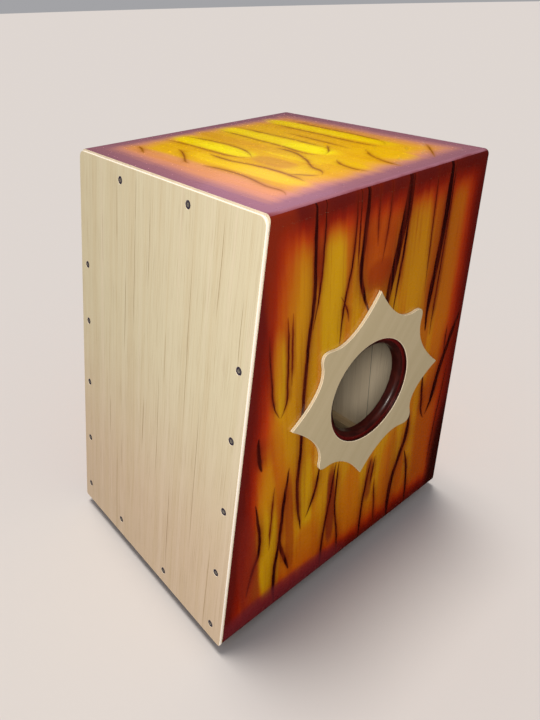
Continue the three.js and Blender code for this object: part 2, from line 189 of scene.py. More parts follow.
def join(bmeshes):
    """One bmesh from several."""
    whole = bmesh.new()
    for bm in bmeshes:
        mesh = bpy.data.meshes.new("joined")
        bm.to_mesh(mesh)
        bm.free()
        whole.from_mesh(mesh)
        bpy.data.meshes.remove(mesh)
    return whole


def drills(radius, low, high, steps, matrices):
    """Round cutters from low to high along Z, in millimetres, one at each matrix."""
    profile = [(0, low), (radius, low), (radius, high), (0, high)]
    return join([lathe(profile, steps, matrix) for matrix in matrices])


def keep_side(bm, point, outward, material_index):
    """Cuts a bmesh with a plane, drops what lies on the outward side and closes the cut."""
    geometry = bm.verts[:] + bm.edges[:] + bm.faces[:]
    cut = bmesh.ops.bisect_plane(
        bm, geom=geometry, dist=1e-7, plane_co=point, plane_no=outward, clear_outer=True)
    edges = [e for e in cut["geom_cut"] if isinstance(e, bmesh.types.BMEdge)]
    bmesh.ops.edgeloop_fill(bm, edges=edges, mat_nr=material_index)


def ease(bm, edges, radius, segments=3):
    """Rounds edges, with the radius in millimetres."""
    bmesh.ops.bevel(bm, geom=edges, offset=radius * MM, segments=segments, profile=0.5, affect="EDGES",
                    clamp_overlap=True)


def weigh(piece):
    """Keeps big flat faces flat where they meet a rounded edge."""
    modifier = piece.modifiers.new("flat_faces", "WEIGHTED_NORMAL")
    modifier.keep_sharp = True


# ---- shader networks


def linear(red, green, blue):
    """A colour given as 0 to 255 display values, as the shader's linear numbers."""
    channels = [c / 255 for c in (red, green, blue)]
    return (*[c / 12.92 if c <= 0.04045 else ((c + 0.055) / 1.055) ** 2.4 for c in channels], 1)


def shade(colour, factor):
    return tuple(c * factor for c in colour)


class Value:
    """A number or colour in a material's network. Arithmetic on it adds math nodes."""

    def __init__(self, net, socket):
        self.net = net
        self.socket = socket

    def __add__(self, other):
        return self.net.math("ADD", self, other)

    def __sub__(self, other):
        return self.net.math("SUBTRACT", self, other)

    def __rsub__(self, other):
        return self.net.math("SUBTRACT", other, self)

    def __mul__(self, other):
        return self.net.math("MULTIPLY", self, other)

    def __truediv__(self, other):
        return self.net.math("DIVIDE", self, other)

    def __pow__(self, other):
        return self.net.math("POWER", self, other)

    def __abs__(self):
        return self.net.math("ABSOLUTE", self)

    def clamped(self):
        """Held between 0 and 1."""
        return self.net.node("ShaderNodeClamp", in0=self)

    def share(self, low, high):
        """How far it has come from low to high, from 0 to 1, smoothly."""
        settings = {"interpolation_type": "SMOOTHSTEP"}
        return self.net.node("ShaderNodeMapRange", settings=settings, in0=self, in1=low, in2=high)


class Net:
    """A network of nodes, built by short calls that return values."""

    def __init__(self, tree):
        self.tree = tree

    def put(self, socket, value):
        """Links a value to a socket, or sets it there. Three numbers are a display colour."""
        if isinstance(value, Value):
            self.tree.links.new(value.socket, socket)
        else:
            socket.default_value = linear(*value) if isinstance(value, tuple) else value

    def node(self, kind, output=0, settings=None, **inputs):
        """Adds a node. Inputs are given by name (with _ for spaces) or as in0, in1 and so on."""
        node = self.tree.nodes.new(kind)
        for key, value in (settings or {}).items():
            setattr(node, key, value)
        for key, value in inputs.items():
            place = int(key[2:]) if key.startswith("in") and key[2:].isdigit() else key.replace("_", " ")
            self.put(node.inputs[place], value)
        return Value(self, node.outputs[output])

    def math(self, operation, a, b=0.0, c=0.0):
        return self.node("ShaderNodeMath", settings={"operation": operation}, in0=a, in1=b, in2=c)

    def distance(self, a, b):
        return (a * a + b * b) ** 0.5

    def strongest(self, values):
        """The greatest of several values."""
        top = values[0]
        for value in values[1:]:
            top = self.math("MAXIMUM", top, value)
        return top

    def noise(self, x, y, z, detail=3.0, roughness=0.55):
        vector = self.node("ShaderNodeCombineXYZ", in0=x, in1=y, in2=z)
        return self.node("ShaderNodeTexNoise", Vector=vector, Scale=1.0, Detail=detail, Roughness=roughness)

    def blend(self, a, b, factor):
        return self.node("ShaderNodeMix", output=2, settings={"data_type": "RGBA"}, in0=factor, in6=a, in7=b)

    def layered(self, colour, *layers):
        """A colour with others laid over it in turn, each as (colour, how strongly)."""
        for tint, strength in layers:
            colour = self.blend(colour, tint, strength)
        return colour

    def ramp(self, factor, stops):
        """A colour ramp: stops is [(place, colour), ...]."""
        node = self.tree.nodes.new("ShaderNodeValToRGB")
        elements = node.color_ramp.elements
        while len(elements) < len(stops):
            elements.new(0.5)
        for element, (place, colour) in zip(elements, stops):
            element.position = place
            element.color = linear(*colour)
        self.put(node.inputs[0], factor)
        return Value(self, node.outputs[0])

    def millimetres(self):
        """x, y and z of the point in the part's frame, in millimetres."""
        point = self.node("ShaderNodeTexCoord", output="Object")
        scaled = self.node("ShaderNodeVectorMath", settings={"operation": "SCALE"}, in0=point, in3=1 / MM)
        parts = self.tree.nodes.new("ShaderNodeSeparateXYZ")
        self.put(parts.inputs[0], scaled)
        return [Value(self, socket) for socket in parts.outputs]

    def slanted(self, y, z):
        """The same point's depth behind the played face and its rise up the slope."""
        cos, sin = polar(1, LEAN)
        away, above = y - FRONT.translation.y / MM, z - FRONT.translation.z / MM
        return away * cos - above * sin, away * sin + above * cos

    def bump(self, height, strength=0.3, distance=0.2):
        return self.node("ShaderNodeBump", Height=height, Strength=strength, Distance=distance * MM)


class Finish(Net):
    """A new material, with the network that makes it."""

    def __init__(self, name):
        self.material = bpy.data.materials.new(name)
        self.material.use_nodes = True
        super().__init__(self.material.node_tree)

    def made(self, **inputs):
        """The material, once its surface shader has these inputs."""
        shader = self.tree.nodes["Principled BSDF"]
        for key, value in inputs.items():
            self.put(shader.inputs[key.replace("_", " ")], value)
        return self.material


# ---- sunburst paint


SEAM_SPAN = 500.0  # a seam's curve covers this many millimetres across, centred on 0


def seam_group():
    """A node group: how strongly one painted seam's ink and its brown glow mark a point."""
    group = bpy.data.node_groups.new("painted_seam", "ShaderNodeTree")
    for name in ("Along", "Across", "Curve", "Low", "High", "Taper", "Width"):
        group.interface.new_socket(name, in_out="INPUT", socket_type="NodeSocketFloat")
    for name in ("Line", "Glow"):
        group.interface.new_socket(name, in_out="OUTPUT", socket_type="NodeSocketFloat")
    net = Net(group)
    given = {socket.name: Value(net, socket) for socket in group.nodes.new("NodeGroupInput").outputs}
    out = group.nodes.new("NodeGroupOutput").inputs
    distance = abs(given["Across"] - (given["Curve"] - 0.5) * SEAM_SPAN)
    start = (given["Along"] - given["Low"]) / given["Taper"]
    end = (given["High"] - given["Along"]) / given["Taper"]
    taper = net.math("MINIMUM", net.math("MINIMUM", start, end), 1.0)
    held = net.math("MAXIMUM", taper, 0.0)
    half = given["Width"] * 0.5 * held ** 0.5
    line = ((half - distance) * 0.8 + 0.55).clamped()
    near = net.math("EXPONENT", distance / (given["Width"] * -0.6 - 1.0))
    far = net.math("EXPONENT", distance / (given["Width"] * -1.6 - 2.5))
    net.put(out["Line"], line * (taper * 12).clamped())
    net.put(out["Glow"], (near * 0.7 + far * 0.55) * held)
    return group


SEAM_GROUP = seam_group()


def seam(net, along, across, route, width, taper):
    """(line, glow) of one painted seam. Its route is [(along, across), ...] in millimetres."""
    route = sorted(route)
    low, high = route[0][0], route[-1][0]
    curve = net.tree.nodes.new("ShaderNodeFloatCurve")
    points = curve.mapping.curves[0].points
    while len(points) < len(route):
        points.new(0.5, 0.5)
    for point, (a, b) in zip(points, route):
        point.location = ((a - low) / (high - low), b / SEAM_SPAN + 0.5)
    curve.mapping.update()
    net.put(curve.inputs["Value"], ((along - low) / (high - low)).clamped())
    node = net.tree.nodes.new("ShaderNodeGroup")
    node.node_tree = SEAM_GROUP
    values = {"Along": along, "Across": across, "Curve": Value(net, curve.outputs[0]),
              "Low": low, "High": high, "Taper": taper, "Width": width}
    for name, value in values.items():
        net.put(node.inputs[name], value)
    return Value(net, node.outputs["Line"]), Value(net, node.outputs["Glow"])


def patch(along, across, centre, reach):
    """A soft oval, 1 inside and 0 outside: centre and reach are (along, across) in millimetres."""
    beside, off = (along - centre[0]) / reach[0], (across - centre[1]) / reach[1]
    return (abs(beside) ** 2.6 + abs(off) ** 2.6).share(1.6, 0.4)


def panel_edges(net, x, y, z, panel):
    """Distances in from a panel's four edges, in millimetres."""
    depth, _ = net.slanted(y, z)
    right, left = SIDE_HIGH.x / MM - x, x + SIDE_HIGH.x / MM
    back = BACK_HIGH.y / MM - y
    top, bottom = TOP_HIGH.z / MM - z, z - BASE_LOW.z / MM
    return {
        "side": (depth, back, top, bottom),
        "top": (depth, back, left, right),
        "back": (left, right, top, bottom),
    }[panel]


# The stain's colours, by how far in from the panel's edge they are, in millimetres.
BURST_REACH = 110.0
BURST = [
    (0, (84, 22, 20)), (10, (96, 18, 10)), (17, (128, 24, 4)), (26, (168, 50, 2)),
    (38, (180, 86, 3)), (60, (184, 116, 3)), (95, (186, 130, 3)),
]
# The top's colours: the stain, with a painted reflection in its mauve border, the sheen of a cool light on the
# lacquer.
TOP_BURST_AND_SHEEN = [
    (0, (116, 48, 52)), (4, (150, 102, 118)), (18, (158, 108, 120)), (30, (200, 136, 122)),
    (42, (230, 160, 84)), (56, (234, 180, 30)), (80, (238, 186, 8)), (100, (240, 190, 4)),
]
SIDE_TINTS = {
    "band": (176, 88, 4), "streak": (146, 56, 4), "hair": (84, 24, 6), "glow": (108, 25, 5),
    "line": (40, 6, 6),
}
TOP_TINTS = {
    "band": (222, 156, 20), "streak": (206, 130, 12), "hair": (178, 106, 20), "glow": (170, 104, 10),
    "line": (76, 36, 6),
}
HOLE_RING = (84, 14, 13)


def sunburst(name, panel, seams, patches, shades=(), burst=BURST, widen=1.0, tints=SIDE_TINTS, shine=0.3,
             hole=False):
    """Glossy stain, dark at the panel's edges and yellow inside, with painted seams along the grain.

    seams is [(route, width, taper), ...] and patches [(centre, reach, colour, strength), ...], all in
    (along, across) millimetres. Shades are patches that lie over the dark border and the seams too.
    A hole adds a dark ring round the sound hole, which shows inside the rosette's own hole.
    """
    net = Finish(name)
    x, y, z = net.millimetres()
    along, across, through = {"side": (z, y, x), "top": (x, y, z), "back": (z, x, y)}[panel]
    slow = net.noise(along / 75, across / 28, through / 40, 2.0)
    sway = (slow - 0.5) * 7
    jitter = net.noise(along / 12, across / 9, 3.0, 2.0)
    wobbly = across + sway * 0.35 + (jitter - 0.5) * 1.6

    nearest, *others = [distance / widen for distance in panel_edges(net, x, y, z, panel)]
    for distance in others:
        nearest = net.math("SMOOTH_MIN", nearest, distance, 18.0)
    brushed = net.noise(along / 90, across / 6, 11.0, 3.0, 0.6)
    fray = (brushed - 0.5) * 12 * nearest.share(3, 18)
    nearest = nearest + sway + fray
    colour = net.ramp(nearest / BURST_REACH, [(reach / BURST_REACH, tint) for reach, tint in burst])
    inner = nearest.share(16, 46)

    broad = net.noise(along / 240, wobbly / 17, 21.0, 2.0, 0.5)
    fine = net.noise(along / 130, wobbly / 3.2, 31.0, 4.0, 0.7)
    hairs = net.noise(along / 150, wobbly / 1.1, 41.0, 2.0, 0.5)
    ovals = [(tint, patch(along, wobbly, centre, reach) * inner * strength)
             for centre, reach, tint, strength in patches]
    colour = net.layered(
        colour,
        (tints["band"], broad.share(0.46, 0.66) * inner * 0.55),
        *ovals,
        (tints["streak"], fine.share(0.5, 0.74) * inner * 0.45),
        (tints["hair"], hairs.share(0.66, 0.78) * broad.share(0.4, 0.6) * inner * 0.7))

    lines, glows = zip(*[seam(net, along, wobbly, *spec) for spec in seams])
    glow = net.strongest(glows) * (fine * 1.3 + 0.3).clamped()
    ink = net.strongest(lines) * (fine * 1.1 + 0.4).clamped()
    ink_colour = net.blend(tints["glow"], tints["line"], ink ** 3)
    over = [(tint, patch(along, wobbly, centre, reach) * strength)
            for centre, reach, tint, strength in shades]
    colour = net.layered(colour, (tints["glow"], glow), (ink_colour, ink), *over)
    if hole:
        out = net.distance(y - HOLE.y / MM, z - HOLE.z / MM)
        colour = net.blend(colour, HOLE_RING, out.share(SUN_HOLE_RADIUS + 3, SUN_HOLE_RADIUS + 1))

    ripple = net.noise(x / 9, y / 9, z / 9, 2.0)
    grain = net.noise(along / 60, across / 1.3, 5.0)
    bumps = net.bump(ripple * 0.5 + grain * 0.12, 0.12, 0.25)
    return net.made(Base_Color=colour, Roughness=ripple * 0.16 + 0.2, Normal=bumps,
                    Specular_IOR_Level=shine, Coat_Weight=0.2, Coat_Roughness=0.08)


# Painted seams of the side with the sound hole: ([(height, depth), ...], width, taper).
SIDE_SEAMS = [
    ([(500, -60), (430, -60), (399, -60), (338, -68), (280, -73), (227, -76), (174, -80), (108, -75)],
     4.2, 40),
    ([(500, -48), (430, -50), (398, -54), (360, -62)], 2.2, 40),
    ([(378, -114), (330, -113), (298, -110), (282, -103)], 1.8, 20),
    ([(388, -92), (320, -93), (295, -95), (281, -102)], 1.8, 20),
    ([(390, -86), (350, -87), (312, -88)], 1.0, 20),
    ([(273, -130), (250, -131), (229, -128)], 5.4, 14),
    ([(192, -138), (165, -136), (143, -134), (117, -137), (97, -146), (60, -158)], 4.2, 40),
    ([(214, -91), (160, -101), (110, -108), (76, -115), (6, -118)], 4.6, 40),
    ([(122, -107), (100, -105), (80, -100), (57, -94)], 5.0, 22),
    ([(194, -46), (170, -50), (150, -55), (122, -68)], 3.6, 24),
    ([(178, -20), (140, -26), (100, -33), (60, -39), (6, -43)], 3.6, 30),
    ([(176, -15), (140, -18), (105, -19), (60, -14), (6, -12)], 2.4, 25),
    ([(500, -11), (412, -12), (382, -19), (330, -25)], 2.2, 40),
    ([(500, -4), (430, -4), (408, -4)], 1.4, 15),
    ([(500, 7), (429, 3), (402, 1), (379, 6), (350, 18)], 5.6, 30),
    ([(500, 66), (440, 61), (402, 54), (375, 48), (345, 43), (322, 40)], 10.0, 60),
    ([(500, 70), (412, 65), (375, 60), (340, 56)], 3.6, 40),
    ([(500, 108), (420, 108), (341, 109)], 1.3, 50),
    ([(500, 131), (412, 129), (362, 124), (315, 119), (290, 121)], 8.0, 50),
    ([(500, 138), (395, 134), (281, 130)], 1.8, 40),
    ([(300, 192), (248, 171), (211, 160), (174, 152), (158, 144)], 8.0, 34),
    ([(284, 166), (262, 166), (238, 166)], 1.8, 16),
    ([(232, 128), (194, 132), (164, 137), (154, 143)], 4.2, 26),
    ([(186, 110), (140, 108), (117, 100), (76, 88), (6, 88)], 7.5, 40),
    ([(120, 110), (83, 119), (6, 124)], 3.4, 20),
    ([(146, 43), (100, 35), (60, 31), (6, 29)], 3.4, 30),
    ([(146, 50), (122, 47), (100, 44)], 2.4, 16),
    ([(108, 52), (60, 56), (6, 60)], 1.6, 25),
    ([(385, -26), (372, -18), (352, -12)], 1.4, 14),
    ([(200, -112), (150, -118), (110, -122)], 1.0, 25),
    ([(500, 38), (440, 36), (400, 30)], 1.2, 30),
    ([(500, 22), (438, 21), (420, 22)], 1.2, 20),
    ([(230, 180), (180, 176), (120, 170), (60, 168)], 2.0, 40),
]
# Soft ovals of other colours: (centre, reach, colour, strength), as (height, depth).
SIDE_PATCHES = [
    ((330, -84), (118, 30), (190, 140, 3), 0.7),
    ((380, -36), (88, 16), (190, 145, 2), 0.9),
    ((330, -103), (46, 9), (194, 150, 3), 0.85),
    ((125, -124), (120, 14), (192, 144, 2), 1.0),
    ((160, -66), (50, 9), (192, 144, 2), 0.95),
    ((448, -54), (44, 5), (120, 34, 6), 0.9),
    ((420, 27), (42, 24), (166, 62, 4), 0.85),
    ((386, 30), (20, 20), (140, 44, 4), 0.6),
    ((362, 24), (14, 14), (186, 104, 4), 0.7),
    ((410, 86), (80, 17), (184, 124, 4), 0.8),
    ((400, 131), (90, 8), (112, 38, 6), 0.6),
    ((370, 154), (100, 14), (174, 98, 4), 0.7),
    ((350, 120), (110, 8), (160, 70, 4), 0.6),
    ((110, -27), (64, 7), (118, 36, 16), 0.9),
    ((90, 6), (60, 18), (182, 98, 4), 0.65),
    ((112, 41), (34, 7), (120, 34, 18), 0.7),
    ((95, 72), (60, 11), (180, 90, 4), 0.6),
    ((235, 146), (60, 10), (182, 98, 5), 0.7),
    ((130, 150), (90, 24), (158, 60, 3), 0.7),
    ((86, 103), (32, 8), (172, 78, 4), 0.8),
    ((60, 196), (120, 20), (58, 12, 7), 1.0),
    ((220, -112), (60, 16), (176, 92, 4), 0.5),
    ((120, -92), (80, 6), (140, 50, 8), 0.6),
    ((66, -66), (46, 18), (176, 88, 5), 0.6),
    ((120, 84), (50, 8), (160, 72, 5), 0.5),
]
# The same, but laid over the dark border too.
SIDE_SHADES = [
    ((36, 212), (130, 42), (54, 12, 7), 1.0),
    ((432, -98), (64, 20), (150, 46, 3), 0.35),
    ((70, -152), (110, 14), (112, 30, 22), 0.6),
    ((20, -104), (26, 100), (104, 34, 42), 0.7),
]

# Painted seams of the top: ([(x, y), ...], width, taper).
TOP_SEAMS = [
    ([(68, 103), (84, 91), (108, 80), (140, 75)], 1.0, 14),
    ([(-130, 80), (-40, 82), (20, 80), (40, 78)], 0.7, 40),
    ([(-125, 56), (-60, 53), (0, 50), (30, 46), (46, 48), (53, 54)], 0.8, 30),
    ([(-6, 41), (30, 39), (58, 27), (81, 12), (101, 6), (108, -2)], 1.3, 16),
    ([(82, -21), (96, -13), (108, -4)], 1.0, 8),
    ([(-36, -25), (-16, -28), (11, -27), (38, -22), (78, -22), (112, -27)], 1.0, 18),
    ([(-77, -37), (-60, -43), (-43, -52), (-26, -62), (-16, -64)], 1.1, 12),
    ([(-3, -59), (31, -54), (64, -55), (98, -61), (122, -62), (131, -68)], 1.0, 18),
    ([(76, 52), (86, 43), (102, 37), (130, 38)], 1.1, 12),
    ([(98, 168), (115, 152), (128, 139), (142, 124)], 1.1, 12),
    ([(-130, 5), (-70, 14), (-36, 13), (-10, 6), (11, -5)], 0.8, 30),
    ([(-130, -20), (-86, -17), (-36, -17), (-10, -15), (12, -6)], 0.8, 30),
    ([(-110, 156), (-36, 151), (31, 148), (64, 140), (73, 128)], 0.7, 30),
    ([(-104, 126), (-20, 123), (61, 122), (73, 126)], 0.8, 20),
    ([(-124, -60), (-104, -66), (-88, -74)], 0.8, 10),
    ([(26, 88), (40, 76), (52, 62), (55, 54)], 1.0, 8),
    ([(-60, 101), (10, 98), (60, 93)], 0.6, 40),
]
TOP_PATCHES = [
    ((-20, 40), (150, 92), (236, 184, 10), 0.6),
    ((-33, 138), (108, 12), (250, 216, 1), 0.95),
    ((-40, 67), (98, 17), (252, 222, 0), 1.0),
    ((22, 62), (34, 13), (255, 236, 0), 1.0),
    ((-66, 0), (70, 15), (253, 224, 0), 1.0),
    ((-36, -2), (40, 11), (255, 236, 0), 0.9),
    ((34, -35), (84, 13), (248, 206, 4), 0.9),
    ((36, 30), (44, 12), (248, 210, 4), 0.8),
    ((82, -4), (18, 18), (240, 198, 10), 0.8),
    ((82, 44), (40, 12), (238, 194, 8), 0.7),
    ((100, 105), (34, 14), (238, 190, 8), 0.7),
    ((40, -1), (30, 12), (212, 152, 50), 0.7),
    ((-60, 31), (90, 9), (224, 164, 30), 0.6),
    ((24, -72), (150, 16), (228, 150, 112), 0.65),
]


def drawn_seams(seed, half, count):
    """Seams of the same hand for a panel: strokes from its top and from its foot, some in pairs."""
    draw = random.Random(seed)
    high = TOP_HIGH.z / MM
    seams = []
    for i in range(count):
        middle = -half + (i + 0.5) * 2 * half / count + draw.uniform(-6, 6)
        length = draw.uniform(0.35, 0.75) * high
        start = draw.choice([0, high - length, high - length, draw.uniform(40, high - length)])
        drift = [draw.uniform(-9, 9) for _ in range(4)]
        route = [(start + k * length / 3, middle + drift[k]) for k in range(4)]
        seams.append((route, draw.choice([1.4, 2.2, 3.2, 4.6, 7.0]), 40))
        if i % 3 == 1:
            twin = [(a, b + 14 * (k / 3) ** 0.5) for k, (a, b) in enumerate(route)]
            seams.append((twin, 1.8, 25))
    return seams


def drawn_patches(seed):
    """Long ovals of the sunburst's other colours, side by side over a panel."""
    draw = random.Random(seed)
    tints = [(190, 142, 2), (172, 84, 4), (192, 148, 3), (150, 52, 6), (184, 118, 4)]
    patches = []
    for i in range(14):
        centre = (draw.uniform(90, 390), -115 + 18 * i + draw.uniform(-5, 5))
        reach = (draw.uniform(50, 130), draw.uniform(7, 16))
        patches.append((centre, reach, tints[i % len(tints)], draw.uniform(0.6, 0.9)))
    return patches


# ---- plain wood and metal


def plain_wood(name, pale, dark, along="z", wide=9.0, fine=0.9, rough=0.62, joint=None):
    """Straight-grained wood: broad bands, fine fibres and short dark pores, along one axis.

    A joint is the x of a glued seam between two leaves of its veneer, with old stains above it.
    """
    net = Finish(name)
    x, y, z = net.millimetres()
    length, across, other = {"x": (x, y, z), "y": (y, x, z), "z": (z, x, y)}[along]
    across = across + other * 0.37
    wave = net.noise(length / 210, across / 60, 2.0, 2.0)
    across = across + (wave - 0.5) * 9
    bands = net.noise(length / 420, across / wide, 7.0, 3.0, 0.6)
    fibres = net.noise(length / 95, across / fine, 13.0, 4.0, 0.65)
    pores = net.noise(length / 16, across / 0.45, 17.0, 2.0, 0.5)
    colour = net.layered(
        pale,
        (dark, bands.share(0.3, 0.72) * 0.33 + fibres.share(0.35, 0.75) * 0.27),
        (shade(dark, 0.6), pores.share(0.62, 0.8) * 0.35))
    if joint is not None:
        beside = abs(x + fibres * 0.8 - joint)
        colour = net.layered(
            colour,
            (shade(dark, 0.45), beside.share(0.9, 0.2) * 0.75),
            ((150, 92, 76), fibres.share(0.55, 0.8) * z.share(90, 190) * 0.8))
    height = fibres * 0.5 - pores.share(0.6, 0.8) * 0.4
    return net.made(Base_Color=colour, Roughness=fibres * 0.15 + (rough - 0.08), Specular_IOR_Level=0.35,
                    Normal=net.bump(height, 0.25, 0.15))


# Darker lines in the tapa's veneer: ((x, rise of the middle), length, width), in millimetres.
TAPA_STREAKS = [
    ((-89, 170), 56, 1.0), ((-74, 428), 62, 0.9), ((-55, 322), 92, 1.3), ((-36, 370), 120, 1.2),
    ((-36, 448), 48, 0.8), ((-9, 408), 84, 1.0), ((-12, 200), 70, 1.2), ((143, 372), 64, 0.9),
    ((18, 214), 130, 0.9), ((48, 96), 130, 1.2), ((92, 190), 190, 0.9), ((-71, 60), 150, 1.0),
    ((128, 60), 120, 1.1), ((-106, 390), 60, 0.9), ((66, 330), 180, 0.9), ((108, 420), 90, 0.8),
    ((28, 300), 60, 0.8), ((-60, 130), 44, 0.8),
]


def tapa_veneer():
    """Pale straight-grained veneer, a little pinker low down, with thin darker lines in it."""
    net = Finish("tapa_veneer_face")
    x, y, z = net.millimetres()
    _, rise = net.slanted(y, z)
    wave = net.noise(rise / 160, x / 45, 1.0, 2.0)
    across = x + (wave - 0.5) * 5
    bands = net.noise(rise / 700, across / 13, 3.0)
    fibres = net.noise(rise / 170, across / 1.1, 5.0, 4.0, 0.75)
    hairs = net.noise(rise / 60, across / 0.5, 9.0, 2.0, 0.5)
    marks = []
    for (middle, height), length, width in TAPA_STREAKS:
        beside, reach = abs(across - middle), abs(rise - height)
        marks.append(beside.share(width * 0.7, 0.1) * reach.share(length * 0.6, length / 4))
    broken = (hairs * 1.6 - 0.1).clamped()
    colour = net.layered(
        (184, 164, 141),
        ((187, 178, 151), rise.share(60, 330)),
        ((172, 152, 116), bands.share(0.42, 0.7) * 0.28),
        ((196, 180, 160), bands.share(0.45, 0.28) * 0.3),
        ((150, 128, 90), fibres.share(0.51, 0.72) * 0.55),
        ((134, 110, 74), hairs.share(0.56, 0.72) * 0.5),
        ((116, 88, 50), net.strongest(marks) * broken))
    return net.made(Base_Color=colour, Roughness=fibres * 0.14 + 0.42, Specular_IOR_Level=0.4,
                    Normal=net.bump(fibres * 0.4 - hairs * 0.3, 0.2, 0.12))


def rosette_veneer():
    """Matt greyish veneer whose grain runs slantwise across the sun."""
    net = Finish("rosette_face")
    _, y, z = net.millimetres()
    cos, sin = polar(1, math.radians(38))
    along, across = y * sin + z * cos, y * cos - z * sin
    bands = net.noise(along / 180, across / 11, 2.0)
    fibres = net.noise(along / 45, across / 1.1, 6.0, 3.0, 0.65)
    colour = net.layered(
        (175, 161, 130),
        ((170, 156, 124), bands.share(0.3, 0.7)),
        ((148, 134, 104), fibres.share(0.52, 0.8) * 0.3))
    return net.made(Base_Color=colour, Roughness=0.68, Specular_IOR_Level=0.25,
                    Normal=net.bump(fibres, 0.2, 0.1))


PLY = 1.17  # thickness of one layer of thin plywood, in millimetres


def ply_edge(name, pale, dark, inward, origin):
    """A sawn plywood edge: layers of crossed grain, counted inwards from an origin."""
    net = Finish(name)
    x, y, z = net.millimetres()
    depth, _ = net.slanted(y, z)
    layer = net.math("FRACT", ({"x": x, "depth": depth}[inward] - origin) / (2 * PLY))
    fibres = net.noise(x / 1.2, y / 1.2, z / 1.2)
    colour = net.layered(
        pale, (dark, abs(layer - 0.5).share(0.2, 0.3)), (shade(dark, 0.75), fibres.share(0.5, 0.8) * 0.3))
    return net.made(Base_Color=colour, Roughness=0.7, Normal=net.bump(fibres, 0.3, 0.1))


def lacquered_wall():
    """The sound hole's wall: the edge's dark lacquer with the ply's layers faint under it."""
    net = Finish("hole_wall_lacquer")
    x, y, z = net.millimetres()
    runs = net.noise(x / 3, y / 14, z / 14)
    layers = net.math("FRACT", x / 2.4)
    colour = net.layered(
        (44, 9, 6), ((66, 18, 11), runs.share(0.35, 0.7)), ((50, 8, 8), layers.share(0.5, 0.8) * 0.25))
    return net.made(Base_Color=colour, Roughness=0.4, Coat_Weight=0.12, Coat_Roughness=0.15,
                    Normal=net.bump(runs, 0.25, 0.3))


def screw_steel(name, base, worn, rough, metallic, rubbed=0.0):
    """Plated screw steel, worn brighter in patches, and rubbed bright within a radius of its axis."""
    net = Finish(name)
    x, y, z = net.millimetres()
    patches = net.noise(x / 1.3, y / 1.3, z / 1.3, 4.0, 0.65)
    colour = net.blend(base, worn, patches.share(0.5, 0.72))
    if rubbed:
        bright = net.distance(x, y).share(rubbed, rubbed * 0.5) * z.share(-1.6, -0.5)
        colour = net.blend(colour, shade(worn, 1.25), bright)
    return net.made(Base_Color=colour, Roughness=patches * 0.3 + rough, Metallic=metallic,
                    Normal=net.bump(patches, 0.2, 0.05))


def rubber():
    """Black moulded rubber, finely pitted, with dust on it."""
    net = Finish("moulded_rubber")
    x, y, z = net.millimetres()
    speck = net.noise(x / 0.6, y / 0.6, z / 0.6)
    dust = net.noise(x / 8, y / 8, z / 5)
    colour = net.blend((30, 30, 31), (70, 68, 64), dust.share(0.45, 0.75) * 0.4)
    return net.made(Base_Color=colour, Roughness=speck * 0.2 + 0.6, Normal=net.bump(speck, 0.3, 0.08))


def pine(name, along):
    return plain_wood(name, (206, 184, 148), (164, 136, 98), along, wide=5.0, rough=0.66)


def thick_ply(name, pale, dark, joint=None):
    return plain_wood(name, pale, dark, wide=14.0, fine=1.4, rough=0.75, joint=joint)


MATERIALS = {
    "side_paint": sunburst(
        "side_paint", "side", SIDE_SEAMS, SIDE_PATCHES, SIDE_SHADES, widen=1.15, hole=True),
    "plain_side_paint": sunburst("plain_side_paint", "side", drawn_seams(5, 130, 13), drawn_patches(15)),
    "back_paint": sunburst("back_paint", "back", drawn_seams(8, 140, 13), drawn_patches(18)),
    # The top's paint, with a painted reflection of a cool light in its mauve border.
    "top_paint_and_sheen": sunburst(
        "top_paint_and_sheen", "top", TOP_SEAMS, TOP_PATCHES, burst=TOP_BURST_AND_SHEEN, tints=TOP_TINTS, shine=0.15),
    "bare_ply": thick_ply("bare_ply", (198, 186, 164), (156, 140, 116)),
    # The back panel's inside: paler than the other bare ply, partly painted light for the light that falls in
    # through the sound hole.
    "back_inside_painted_light": thick_ply("back_inside_painted_light", (226, 212, 186), (186, 168, 142), joint=35.0),
    "base_ply": plain_wood("base_ply", (182, 150, 106), (138, 104, 66), along="y", wide=12.0, rough=0.7),
    "batten": pine("batten_pine", "z"),
    "batten_x": pine("batten_pine_across", "x"),
    "dowel": plain_wood("dowel_beech", (214, 176, 128), (182, 136, 88), "x", wide=4.0, fine=0.7, rough=0.5),
    "tapa": tapa_veneer(),
    # The tapa's sawn edges and countersinks: pale ply, with a painted highlight that makes them near white.
    "tapa_edge_and_highlight": ply_edge("tapa_ply_edge_and_highlight", (250, 244, 236), (236, 222, 202), "depth", 0.0),
    "rosette": rosette_veneer(),
    "rosette_edge": ply_edge("rosette_ply_edge", (222, 208, 180), (202, 184, 150), "x", SUN_LOW.x / MM),
    "hole_wall": lacquered_wall(),
    "black_screw": screw_steel("black_screw", (44, 36, 54), (96, 92, 84), 0.35, 0.1, rubbed=2.4),
    "zinc_screw": screw_steel("zinc_screw", (176, 174, 166), (206, 204, 198), 0.22, 0.6),
    "snare_wire": screw_steel("snare_wire", (186, 186, 184), (214, 214, 212), 0.15, 0.6),
    "rubber": rubber(),
}


def wear(mesh, names):
    """Gives a mesh only the materials its faces use, out of a list of names."""
    used = sorted({polygon.material_index for polygon in mesh.polygons})
    indices = [used.index(polygon.material_index) for polygon in mesh.polygons]
    mesh.materials.clear()
    for index in used:
        mesh.materials.append(MATERIALS[names[index]])
    mesh.polygons.foreach_set("material_index", indices)
    return mesh


# ---- box panels


SKINS = [
    "top_paint_and_sheen", "side_paint", "plain_side_paint", "back_paint", "bare_ply", "base_ply", "back_inside_painted_light",
    "hole_wall",
]
BEHIND_TAPA = box_in("top_panel", INTO_FRONT)[0].y
JOINT = 0.01 * MM  # half the hairline between two glued panels


def front_y(height):
    """y of the box's open front, where the tapa lies on it, at a height."""
    return FRONT.translation.y + (height - BASE_LOW.z) * math.tan(LEAN) + BEHIND_TAPA / math.cos(LEAN)


